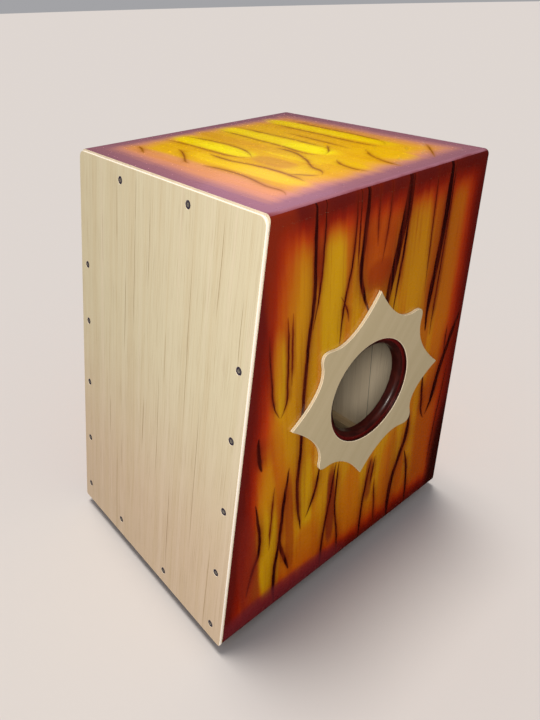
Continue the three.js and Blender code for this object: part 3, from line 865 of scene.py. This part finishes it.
def outer_block():
    """The whole box as one solid: rounded edges, and a sharp leaning front behind the tapa."""
    bm = bmesh.new()
    bmesh.ops.create_cube(bm, size=2)
    for vert in bm.verts:
        height = TOP_HIGH.z if vert.co.z > 0 else BASE_LOW.z
        depth = BACK_HIGH.y if vert.co.y > 0 else front_y(height)
        vert.co = (vert.co.x * TOP_HIGH.x, depth, height)
    rounded = [e for e in bm.edges if any(v.co.y > 0 for v in e.verts)]
    ease(bm, rounded, EDGE_RADIUS, segments=8)
    return bm


def skin_of(normal, bare):
    """Which skin a face of the outer block wears."""
    reach = max(range(3), key=lambda axis: abs(normal[axis]))
    if reach == 0:
        return "side_paint" if normal.x > 0 else "plain_side_paint"
    painted = "back_paint" if reach == 1 else "top_paint_and_sheen"
    return painted if normal[reach] > 0 else bare


def box_panel(node, planes, cutter=None, bare="bare_ply"):
    """A panel cut from the outer block by planes, [(point, outward), ...], that takes a node's place."""
    bm = outer_block()
    bm.normal_update()
    for face in bm.faces:
        face.material_index = SKINS.index(skin_of(face.normal, bare))
    for point, outward in planes:
        keep_side(bm, point, outward, SKINS.index(bare))
    mesh = to_mesh(bm, node)
    if cutter:
        mesh = cut_away(mesh, cutter)
    link(node + "_wood", smooth(wear(mesh, SKINS)), node)


def hole_cutter():
    """The room of the sound hole: its outer edge rounded over, its inner one eased."""
    radius, eased, past, steps = HOLE_RADIUS, 1.0, 5, 10
    inner, outer = (SIDE_LOW.x - HOLE.x) / MM, (SIDE_HIGH.x - HOLE.x) / MM
    turns = [polar(HOLE_EDGE, math.pi / 2 * i / steps) for i in range(steps + 1)]
    mouth = [(radius + HOLE_EDGE - a, outer - HOLE_EDGE + b) for a, b in turns]
    profile = [(0, inner - past), (radius + eased, inner - past), (radius + eased, inner),
               (radius, inner + eased), *mouth, (radius + HOLE_EDGE, outer + past), (0, outer + past)]
    bm = lathe(profile, 160, Matrix.Translation(HOLE) @ SIDEWAYS)
    for face in bm.faces:
        face.material_index = SKINS.index("hole_wall")
    return bm


def make_panels():
    """The five fixed panels, glued edge to edge."""
    ceiling, ground = Z * TOP_LOW.z, Z * BASE_HIGH.z
    wall, gap = X * SIDE_LOW.x, JOINT
    between = [(ceiling - Z * gap, Z), (ground + Z * gap, -Z)]
    box_panel("top_panel", [(ceiling + Z * gap, -Z)])
    box_panel("bottom_panel", [(ground - Z * gap, Z)], foot_pilots(), "base_ply")
    box_panel("side_panel_sound_hole", [*between, (wall + X * gap, -X)], hole_cutter())
    box_panel("side_panel_plain", [*between, (-wall - X * gap, X)])
    inside = [(wall - X * gap, X), (X * gap - wall, -X), (Y * BACK_LOW.y, -Y)]
    box_panel("back_panel", [*between, *inside], bare="back_inside_painted_light")


# ---- battens

BATTEN_EASE = 0.8


def ease_battens():
    """The battens stay CAD nodes, with their sawn corners eased and pine grain on them."""
    for name, node in frame["nodes"].items():
        if "batten" not in name:
            continue
        weld = node.modifiers.new("weld", "WELD")
        weld.merge_threshold = 1e-6
        bevel = node.modifiers.new("eased", "BEVEL")
        bevel.width = BATTEN_EASE * MM
        bevel.segments = 2
        bevel.limit_method = "ANGLE"
        bevel.angle_limit = math.radians(50)
        crosswise = name.endswith(("top", "bottom"))
        node.data.materials.clear()
        node.data.materials.append(MATERIALS["batten_x" if crosswise else "batten"])


# ---- screws

# A cross recess: arm and half slot in head radii, what is left of them at its floor, depth in mm.
RECESS = {"arm": 0.62, "slot": 0.13, "arm_left": 0.45, "slot_left": 0.8, "depth": 1.5}
COUNTERSUNK = {"head": 4.0, "shank": 1.75, "cone": 2.3, "length": 20.0}
COUNTERSINK = [(0, -10), (2.1, -10), (2.1, -2.75), (4.3, -0.45), (4.3, 5), (0, 5)]


def carve_recess(mesh, head, top):
    """Cuts a tapered cross recess, from a head radius and the height of its face."""
    for arm_axis in (0, 1):
        bm = bmesh.new()
        bmesh.ops.create_cube(bm, size=2)
        for vert in bm.verts:
            deep = vert.co.z < 0
            reach = [RECESS["slot"] * head * (RECESS["slot_left"] if deep else 1)] * 2
            reach[arm_axis] = RECESS["arm"] * head * (RECESS["arm_left"] if deep else 1)
            height = top - RECESS["depth"] if deep else top + 1
            vert.co = Vector((vert.co.x * reach[0], vert.co.y * reach[1], height)) * MM
        mesh = cut_away(mesh, bm)
    return mesh


def screw_thread(shank, low, high, pitch=1.9):
    """Profile points of a screw's shank with a coarse thread, from low to high."""
    root = shank * 0.72
    points = []
    while low + pitch < high:
        points += [(root, low + pitch * 0.25), (shank, low + pitch * 0.5), (root, low + pitch * 0.75)]
        low += pitch
    return points


def screw_mesh(name, profile, head, top, finish):
    """A screw turned from its profile, with a recess in its head."""
    mesh = carve_recess(to_mesh(lathe(profile, 48), name), head, top)
    mesh.materials.append(MATERIALS[finish])
    return smooth(mesh, 32)


def countersunk_mesh():
    """A countersunk wood screw, its face at z = 0 and its point below."""
    head, shank, cone, length = COUNTERSUNK.values()
    profile = [(0, -length), *screw_thread(shank, -length + 2, -cone - 5), (shank * 0.8, -cone - 4.5),
               (shank, -cone), (head - 0.12, -0.42), (head, -0.25), (head - 0.18, 0), (0, 0)]
    return screw_mesh("countersunk_screw", profile, head, 0, "black_screw")


def pan_mesh(name, head, shank, dome, length):
    """A pan-head screw, the underside of its head at z = 0 and its point below."""
    turns = [polar(1, i * math.pi / 16) for i in range(1, 6)]
    crown = [(head * a, dome * b) for a, b in turns]
    profile = [(0, -length), *screw_thread(shank, -length + 1.5, -2, 1.4), (shank, -1.5), (shank, 0),
               (head - 0.1, 0), (head, 0.12), *crown, (head * 0.3, dome), (0, dome)]
    return screw_mesh(name, profile, head, dome, "zinc_screw")


def place_screw(node, mesh, matrix, draw, body=BOX_BODY):
    """One screw at a matrix, turned by chance about its own axis."""
    turned = matrix @ Matrix.Rotation(draw.uniform(0, math.pi / 2), 4, "Z")
    link(node + "_fine", mesh, node, body, turned)


def tapa_spots():
    """(node, centre of the screw's face in the front's frame) of each tapa screw."""
    spots = []
    for node in sorted(frame["nodes"]):
        if node.startswith("tapa_screw"):
            low, high = box_in(node, INTO_FRONT)
            spots.append((node, Vector(((low.x + high.x) / 2, low.y, (low.z + high.z) / 2))))
    return spots


def make_tapa_screws():
    draw = random.Random(7)
    mesh = countersunk_mesh()
    for node, spot in tapa_spots():
        place_screw(node, mesh, FRONT @ Matrix.Translation(spot) @ OUTWARD, draw)


# ---- tapa

TAPA_CORNERS = {"bottom": 3.0, "top": 8.0}
TAPA_EASE = {"face": 0.85, "back": 0.3}


def arc(x, z, radius, start, steps):
    """Points of a quarter circle about a centre from an angle in degrees, turning left."""
    turns = [polar(radius, math.radians(start + 90 * i / steps)) for i in range(steps + 1)]
    return [(x + a, z + b) for a, b in turns]


def rounded(left, right, foot, head, bottom, top, steps=8):
    """Outline of a rectangle with round corners, from its sides and its corner radii."""
    return [
        *arc(right - bottom, foot + bottom, bottom, -90, steps),
        *arc(right - top, head - top, top, 0, steps),
        *arc(left + top, head - top, top, 90, steps),
        *arc(left + bottom, foot + bottom, bottom, 180, steps),
    ]


def plate(outline, thickness):
    """A bmesh plate: its outline, [(x, z), ...] in millimetres, runs from y = 0 to y = thickness."""
    bm = bmesh.new()
    face = bm.faces.new([bm.verts.new((x * MM, 0, z * MM)) for x, z in outline])
    extruded = bmesh.ops.extrude_face_region(bm, geom=[face])
    moved = [v for v in extruded["geom"] if isinstance(v, bmesh.types.BMVert)]
    bmesh.ops.translate(bm, verts=moved, vec=(0, thickness * MM, 0))
    bmesh.ops.recalc_face_normals(bm, faces=bm.faces)
    return bm


def rim_of(bm, side):
    """The edges round a plate's front (-1) or back (1) face."""
    return [e for e in bm.edges if all((v.co.y - MM) * side > 0 for v in e.verts)]


def mark_faces(bm):
    """Tells a plate's face, material 0, from its sawn edge, material 1."""
    bm.normal_update()
    for face in bm.faces:
        face.material_index = 0 if face.normal.y < -0.8 else 1


def make_tapa():
    """The played sheet: eased edges, ply with a painted highlight showing at the edge, and its screws'
    countersinks.
    """
    half, low, high = TAPA_HIGH.x / MM, TAPA_LOW.z / MM, TAPA_HIGH.z / MM
    outline = rounded(-half, half, low, high, *TAPA_CORNERS.values())
    bm = plate(outline, (TAPA_HIGH.y - TAPA_LOW.y) / MM)
    back_rim = rim_of(bm, 1)
    ease(bm, rim_of(bm, -1), TAPA_EASE["face"], segments=4)
    ease(bm, [e for e in back_rim if e.is_valid], TAPA_EASE["back"], segments=2)
    mark_faces(bm)
    places = [Matrix.Translation((spot.x, 0, spot.z)) @ OUTWARD for _, spot in tapa_spots()]
    sinks = join([lathe(COUNTERSINK, 48, place) for place in places])
    for face in sinks.faces:
        face.material_index = 1
    mesh = cut_away(to_mesh(bm, "tapa"), sinks)
    mesh.transform(FRONT)
    smooth(wear(mesh, ["tapa", "tapa_edge_and_highlight"]))
    weigh(link("tapa_sheet", mesh, "tapa"))


# ---- rosette

# Its eight points: (reach, bearing from straight up, growing to the back), sharp and round in turn.
SUN_POINTS = [
    (118.5, 2), (106, 47), (122, 96), (110.5, 135.5), (115, 183.5), (101.5, 228), (117, 273), (105, 315.5),
]
SUN_FLANK = {"pull": 77, "place": 0.64}  # control point of a hollow flank, from its sharp point
SUN_ROUND = {"drop": 5.5, "half_width": 5, "pull": 6}  # a round point's shoulders and control point
SUN_EASE, SUN_RIM = 0.7, 0.6  # of its outline and of its hole
FLANK_STEPS, ROUND_STEPS = 14, 8


def sun_point(reach, bearing):
    return Vector(polar(reach, math.radians(90 - bearing)))


def bend(start, pull, end, steps):
    """Points of a quadratic curve, without its last one."""
    places = [i / steps for i in range(steps)]
    return [start * (1 - t) ** 2 + pull * 2 * t * (1 - t) + end * t ** 2 for t in places]


def sun_outline():
    """(y, z) points round the rosette, from the hole's centre."""
    outline = []
    for i in range(0, len(SUN_POINTS), 2):
        (reach, sharp), (round_reach, middle) = SUN_POINTS[i:i + 2]
        next_reach, next_sharp = SUN_POINTS[(i + 2) % len(SUN_POINTS)]
        next_sharp += 360 if next_sharp < sharp else 0
        rise, fall = middle - SUN_ROUND["half_width"], middle + SUN_ROUND["half_width"]
        shoulder, place = round_reach - SUN_ROUND["drop"], SUN_FLANK["place"]
        before = sun_point(SUN_FLANK["pull"], sharp + (rise - sharp) * place)
        after = sun_point(SUN_FLANK["pull"], next_sharp + (fall - next_sharp) * place)
        crest = sun_point(round_reach + SUN_ROUND["pull"], middle)
        outline += bend(sun_point(reach, sharp), before, sun_point(shoulder, rise), FLANK_STEPS)
        outline += bend(sun_point(shoulder, rise), crest, sun_point(shoulder, fall), ROUND_STEPS)
        outline += bend(sun_point(shoulder, fall), after, sun_point(next_reach, next_sharp), FLANK_STEPS)
    return outline


def make_rosette():
    """The sawn sun: a flat matt face, pale eased edges and a softer rim round the hole."""
    thickness = (SUN_HIGH.x - SUN_LOW.x) / MM
    radius, rim, past = SUN_HOLE_RADIUS, SUN_RIM, 3
    bm = plate(sun_outline(), thickness)
    ease(bm, rim_of(bm, -1), SUN_EASE)
    mark_faces(bm)
    profile = [(0, -thickness - past), (radius, -thickness - past), (radius, -rim),
               (radius + rim * 0.3, -rim * 0.3), (radius + rim, 0), (radius + rim, past), (0, past)]
    hole = lathe(profile, 160, OUTWARD)
    for face in hole.faces:
        face.material_index = 1 if abs(face.calc_center_median().y) < rim * MM else 2
    mesh = cut_away(to_mesh(bm, "sun"), hole)
    # The plate's x runs along the part's y, its y along -x, so its face looks to +x.
    mesh.transform(Matrix.Translation((SUN_HIGH.x, HOLE.y, HOLE.z)) @ Matrix.Rotation(math.pi / 2, 4, "Z"))
    smooth(wear(mesh, ["rosette", "rosette_edge", "hole_wall"]))
    weigh(link("sun_rosette_sawn", mesh, "sun_rosette"))


# ---- feet

FOOT_SHAPE = [
    (2.3, 7), (5.5, 7), (5.5, 0.4), (5.9, 0), (11.4, 0), (12.1, 0.3), (12.5, 1), (12.4, 1.9), (11.9, 2.3),
    (11.9, 2.9), (12.2, 3.3), (11.1, 11), (10.7, 11.7), (2.3, 11.7), (2.3, 7),
]
FOOT_NAMES = ["front_left", "front_right", "back_left", "back_right"]
FOOT_SCREW = {"head": 4.0, "shank": 2.0, "dome": 2.4, "length": 16.0}
FOOT_PILOT = {"radius": 2.3, "depth": 11.5}


def foot_centre(name):
    low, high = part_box("foot_" + name)
    return Vector(((low.x + high.x) / 2, (low.y + high.y) / 2, 0))


def foot_pilots():
    """The holes in the bottom panel that the foot screws run into."""
    places = [Matrix.Translation(foot_centre(name) + Z * BASE_LOW.z) for name in FOOT_NAMES]
    return drills(FOOT_PILOT["radius"], -1, FOOT_PILOT["depth"], 32, places)


def make_feet():
    """Four moulded feet, each with its screw driven up from below."""
    draw = random.Random(11)
    screw = pan_mesh("foot_screw", **FOOT_SCREW)
    for name in FOOT_NAMES:
        mesh = smooth(to_mesh(lathe(FOOT_SHAPE, 72, Matrix.Translation(foot_centre(name))), "foot"), 40)
        mesh.materials.append(MATERIALS["rubber"])
        link("foot_%s_rubber" % name, mesh, "foot_" + name)
        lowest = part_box("foot_screw_" + name)[0].z
        under = foot_centre(name) + Z * (lowest + FOOT_SCREW["dome"] * MM)
        turned_down = Matrix.Translation(under) @ Matrix.Rotation(math.pi, 4, "X")
        place_screw("foot_screw_" + name, screw, turned_down, draw)


# ---- snare unit

BAR = {"radius": 8, "tenon": 4.9, "tenon_length": 11, "ease": 0.6, "tip_ease": 0.5, "pilot": 9}
SNARE = {
    "offset": 42, "width": 46, "height": 11, "plate": 1.4, "corner": 1.5, "ease": 0.25, "flat": 5,
    "gap": 0.3, "screw_inset": 6,
}
SNARE_SCREW = {"head": 2.6, "shank": 1.25, "dome": 1.6, "length": 9.0}
SNARE_HOLE = 1.5  # radius of a plate's screw holes and of the bar's pilots
STRAND = {"count": 10, "pitch": 4.2, "radius": 0.6, "length": 108, "tip_gap": 0.4, "behind": 11}
COIL = {"wire": 0.16, "rise": 1.1, "steps": 8, "sides": 4}


def snare_frame():
    """The bar's frame: X along the bar, Y into the box, turned so the strands meet the tapa."""
    stack = SNARE["flat"] + SNARE["gap"] + SNARE["plate"] / 2 + STRAND["radius"]
    tilt = math.asin((STRAND["behind"] - STRAND["tip_gap"] - stack) / STRAND["length"])
    turned = FRONT.copy()
    turned.translation = Vector(frame["joints"][0]["pos_m"])
    return turned @ Matrix.Rotation(-tilt, 4, "X")


def snare_screw_places():
    reach = SNARE["width"] / 2 - SNARE["screw_inset"]
    return [side * SNARE["offset"] + x for side in (-1, 1) for x in (-reach, reach)]


def across_bar(x, y):
    """A matrix that turns a lathe's Z onto -Y at a place in the bar's frame, in millimetres."""
    return Matrix.Translation(Vector((x, y, 0)) * MM) @ OUTWARD


def flat_cutter(side):
    """A block that planes a snare's flat on the front of the bar, a little longer than the plate."""
    middle, reach, room = side * SNARE["offset"], SNARE["width"] / 2 + 2, 2 * BAR["radius"]
    low = Vector((middle - reach, -room, -room)) * MM
    high = Vector((middle + reach, -SNARE["flat"], room)) * MM
    bm = bmesh.new()
    placed = Matrix.Translation((low + high) / 2) @ Matrix.Diagonal((*(high - low), 1))
    bmesh.ops.create_cube(bm, size=1, matrix=placed)
    return bm


def make_bar(place):
    """The turned dowel with a tenon at each end, a flat for each snare and pilots for the screws."""
    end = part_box("snare_bar")[1].x / MM
    half, radius, tenon = end - BAR["tenon_length"], BAR["radius"], BAR["tenon"]
    ease_by, tip = BAR["ease"], BAR["tip_ease"]
    right = [(radius, half - ease_by), (radius - ease_by, half), (tenon, half), (tenon, end - tip),
             (tenon - tip, end), (0, end)]
    left = [(r, -x) for r, x in reversed(right)]
    mesh = to_mesh(lathe(left + right, 96, SIDEWAYS), "snare_bar")
    for side in (-1, 1):
        mesh = cut_away(mesh, flat_cutter(side))
    spots = [across_bar(x, -SNARE["flat"]) for x in snare_screw_places()]
    mesh = cut_away(mesh, drills(SNARE_HOLE, -BAR["pilot"], BAR["pilot"], 24, spots))
    mesh.transform(place)
    mesh.materials.clear()
    mesh.materials.append(MATERIALS["dowel"])
    link("snare_bar_dowel", smooth(mesh), "snare_bar", SNARE_BODY)


def add_coil(points, faces, place, top, length):
    """Adds one coiled wire that hangs from its top, a place in millimetres, to lists of a mesh."""
    steps, sides = COIL["steps"], COIL["sides"]
    rings = int(length / COIL["rise"] * steps)
    first = len(points)
    for i in range(rings + 1):
        out = Vector((*polar(1, 2 * math.pi * i / steps), 0))
        centre = top - Z * (i * COIL["rise"] / steps) + out * (STRAND["radius"] - COIL["wire"])
        for j in range(sides):
            a, b = polar(COIL["wire"], 2 * math.pi * j / sides)
            points.append(place @ ((centre + out * a + Z * b) * MM))
    for i in range(rings):
        for j in range(sides):
            a, b = first + i * sides + j, first + i * sides + (j + 1) % sides
            faces.append((a, b, b + sides, a + sides))
    last = first + rings * sides
    faces.append(tuple(range(first + sides - 1, first - 1, -1)))
    faces.append(tuple(range(last, last + sides)))


def coil_mesh(place, tops, length):
    """Coiled snare wires of one length, as one mesh."""
    points, faces = [], []
    for top in tops:
        add_coil(points, faces, place, top, length)
    mesh = bpy.data.meshes.new("coils")
    mesh.from_pydata(points, [], faces)
    mesh.shade_smooth()
    return mesh


def snare_plate(side, front):
    """A steel plate with rounded corners and a screw hole near each end."""
    middle, half_width, half_height = side * SNARE["offset"], SNARE["width"] / 2, SNARE["height"] / 2
    outline = rounded(middle - half_width, middle + half_width, -half_height, half_height,
                      SNARE["corner"], SNARE["corner"], steps=4)
    bm = plate(outline, SNARE["plate"])
    bmesh.ops.translate(bm, verts=bm.verts, vec=(0, front * MM, 0))
    rims = [e for e in bm.edges if abs(e.verts[0].co.y - e.verts[1].co.y) < 1e-6]
    ease(bm, rims, SNARE["ease"], segments=2)
    spots = [across_bar(x, front) for x in snare_screw_places() if x * side > 0]
    return cut_away(to_mesh(bm, "snare_plate"), drills(SNARE_HOLE, -5, 5, 32, spots))


def make_snare_set(side, name, place):
    """A steel plate, and ten coiled wires soldered in a row into its lower half."""
    front = -(SNARE["flat"] + SNARE["gap"] + SNARE["plate"])
    mesh = snare_plate(side, front)
    mesh.transform(place)
    smooth(mesh)
    y, z = front + SNARE["plate"] / 2, -SNARE["height"] / 4
    first = side * SNARE["offset"] - (STRAND["count"] - 1) / 2 * STRAND["pitch"]
    tops = [Vector((first + i * STRAND["pitch"], y, z)) for i in range(STRAND["count"])]
    whole = bmesh.new()
    whole.from_mesh(mesh)
    whole.from_mesh(coil_mesh(place, tops, STRAND["length"] + z))
    joined = bpy.data.meshes.new(name)
    whole.to_mesh(joined)
    whole.free()
    joined.materials.append(MATERIALS["snare_wire"])
    link(name + "_coiled", joined, name, SNARE_BODY)


def make_snares():
    """The swinging unit: its bar, a set of snares at each side and their screws."""
    place = snare_frame()
    make_bar(place)
    make_snare_set(-1, "snare_set_left", place)
    make_snare_set(1, "snare_set_right", place)
    draw = random.Random(23)
    screw = pan_mesh("snare_screw", **SNARE_SCREW)
    under = -(SNARE["flat"] + 2 * SNARE["gap"] + SNARE["plate"])
    for i, x in enumerate(snare_screw_places()):
        spot = place @ across_bar(x, under)
        place_screw("snare_screw_%d" % (i + 1), screw, spot, draw, SNARE_BODY)


# ---- floor, lights and camera

FLOOR_COLOUR, FLOOR_RADIUS = (212, 208, 207), 25
WORLD_COLOUR, WORLD_STRENGTH = (222, 222, 226), 0.5
AIM = Vector((0, 0, 0.24))

# Suns: the direction they come from, strength and angular size in degrees.
SUNS = {
    "daylight": ((-0.62, -0.64, 1.7), 2.3, 32),
    "daylight_on_floor": ((-0.28, 0.1, 1.7), 2.4, 20),
}

# Area lights: place, diameter in metres, watts, how many degrees the beam fans out, colour, and
# whether gloss shows the lamp.
DAYLIGHT, COOL = (255, 248, 238), (206, 190, 255)
LAMPS = {
    "fill_by_camera": ((0.82, -0.81, 1.0), 0.3, 14, 180, DAYLIGHT, True),
    "sheen_behind": ((-1.38, 1.21, 1.36), 0.8, 0.9, 180, COOL, True),
    "fill_for_back": ((-0.8, 1.5, 0.44), 0.3, 0.9, 26, DAYLIGHT, False),
}

# Degrees from +Y, down and round, then the lens in millimetres and the place in metres.
CAMERA = {
    "azimuth": 49.703, "elevation": 32.281, "roll": -1.358, "lens": 29.59, "sensor": 36,
    "place": (0.4946, -0.3978, 0.6302),
}


def make_floor():
    """A plain pale floor that runs to the horizon."""
    bm = bmesh.new()
    bmesh.ops.create_circle(bm, cap_ends=True, segments=96, radius=FLOOR_RADIUS)
    floor = add_object("floor", to_mesh(bm, "floor"))
    finish = Finish("pale_floor")
    floor.data.materials.append(finish.made(Base_Color=FLOOR_COLOUR, Roughness=1.0, Specular_IOR_Level=0.0))
    floor.visible_glossy = False
    return floor


def make_room():
    """An even pale room, which gloss doesn't mirror."""
    world = bpy.data.worlds.new("pale_room")
    world.use_nodes = True
    background = world.node_tree.nodes["Background"]
    background.inputs["Color"].default_value = linear(*WORLD_COLOUR)
    background.inputs["Strength"].default_value = WORLD_STRENGTH
    world.cycles_visibility.glossy = False
    bpy.context.scene.world = world
    bpy.context.scene.view_settings.view_transform = "Standard"


def add_light(kind, name, place, strength, colour):
    """A light at a place, turned to the middle of the object."""
    lamp = add_object(name, bpy.data.lights.new(name, kind))
    lamp.data.energy = strength
    lamp.data.color = linear(*colour)[:3]
    lamp.location = place
    lamp.rotation_euler = (AIM - Vector(place)).to_track_quat("-Z", "Y").to_euler()
    return lamp


def light_floor(lamp, floor, state):
    """Says whether a lamp lights only the floor, "INCLUDE", or all but the floor, "EXCLUDE"."""
    receivers = bpy.data.collections.new(lamp.name + "_receivers")
    receivers.objects.link(floor)
    lamp.light_linking.receiver_collection = receivers
    receivers.collection_objects[0].light_linking.link_state = state


def make_lights(floor):
    """Soft daylight from the front left, fills at the front and back, and a cool sheen on the top.

    The floor has a steeper daylight of its own, so it stays dark under the box.
    """
    lamps = []
    for name, (place, strength, spread) in SUNS.items():
        lamp = add_light("SUN", name, place, strength, DAYLIGHT)
        lamp.data.angle = math.radians(spread)
        lamps.append(lamp)
    for name, (place, size, watts, fan, colour, glossy) in LAMPS.items():
        lamp = add_light("AREA", name, place, watts, colour)
        lamp.data.shape = "DISK"
        lamp.data.size = size
        lamp.data.spread = math.radians(fan)
        lamp.visible_camera = False
        lamp.visible_glossy = glossy
        lamps.append(lamp)
    for lamp in lamps:
        light_floor(lamp, floor, "INCLUDE" if lamp.name == "daylight_on_floor" else "EXCLUDE")


def make_camera():
    """A camera that looks at the corner between the tapa and the side with the sound hole."""
    azimuth, elevation, roll = (math.radians(CAMERA[key]) for key in ("azimuth", "elevation", "roll"))
    cos, sin = polar(1, azimuth)
    right = Vector((cos, sin, 0))
    back = Vector((sin * math.cos(elevation), -cos * math.cos(elevation), math.sin(elevation)))
    matrix = Matrix((right, back.cross(right), back)).transposed().to_4x4() @ Matrix.Rotation(roll, 4, "Z")
    matrix.translation = CAMERA["place"]
    camera = add_object("camera", bpy.data.cameras.new("camera"))
    camera.data.lens = CAMERA["lens"]
    camera.data.sensor_width = CAMERA["sensor"]
    camera.matrix_world = matrix
    bpy.context.scene.camera = camera


make_camera()
make_panels()
ease_battens()
make_tapa()
make_tapa_screws()
make_rosette()
make_feet()
make_snares()
make_room()
make_lights(make_floor())
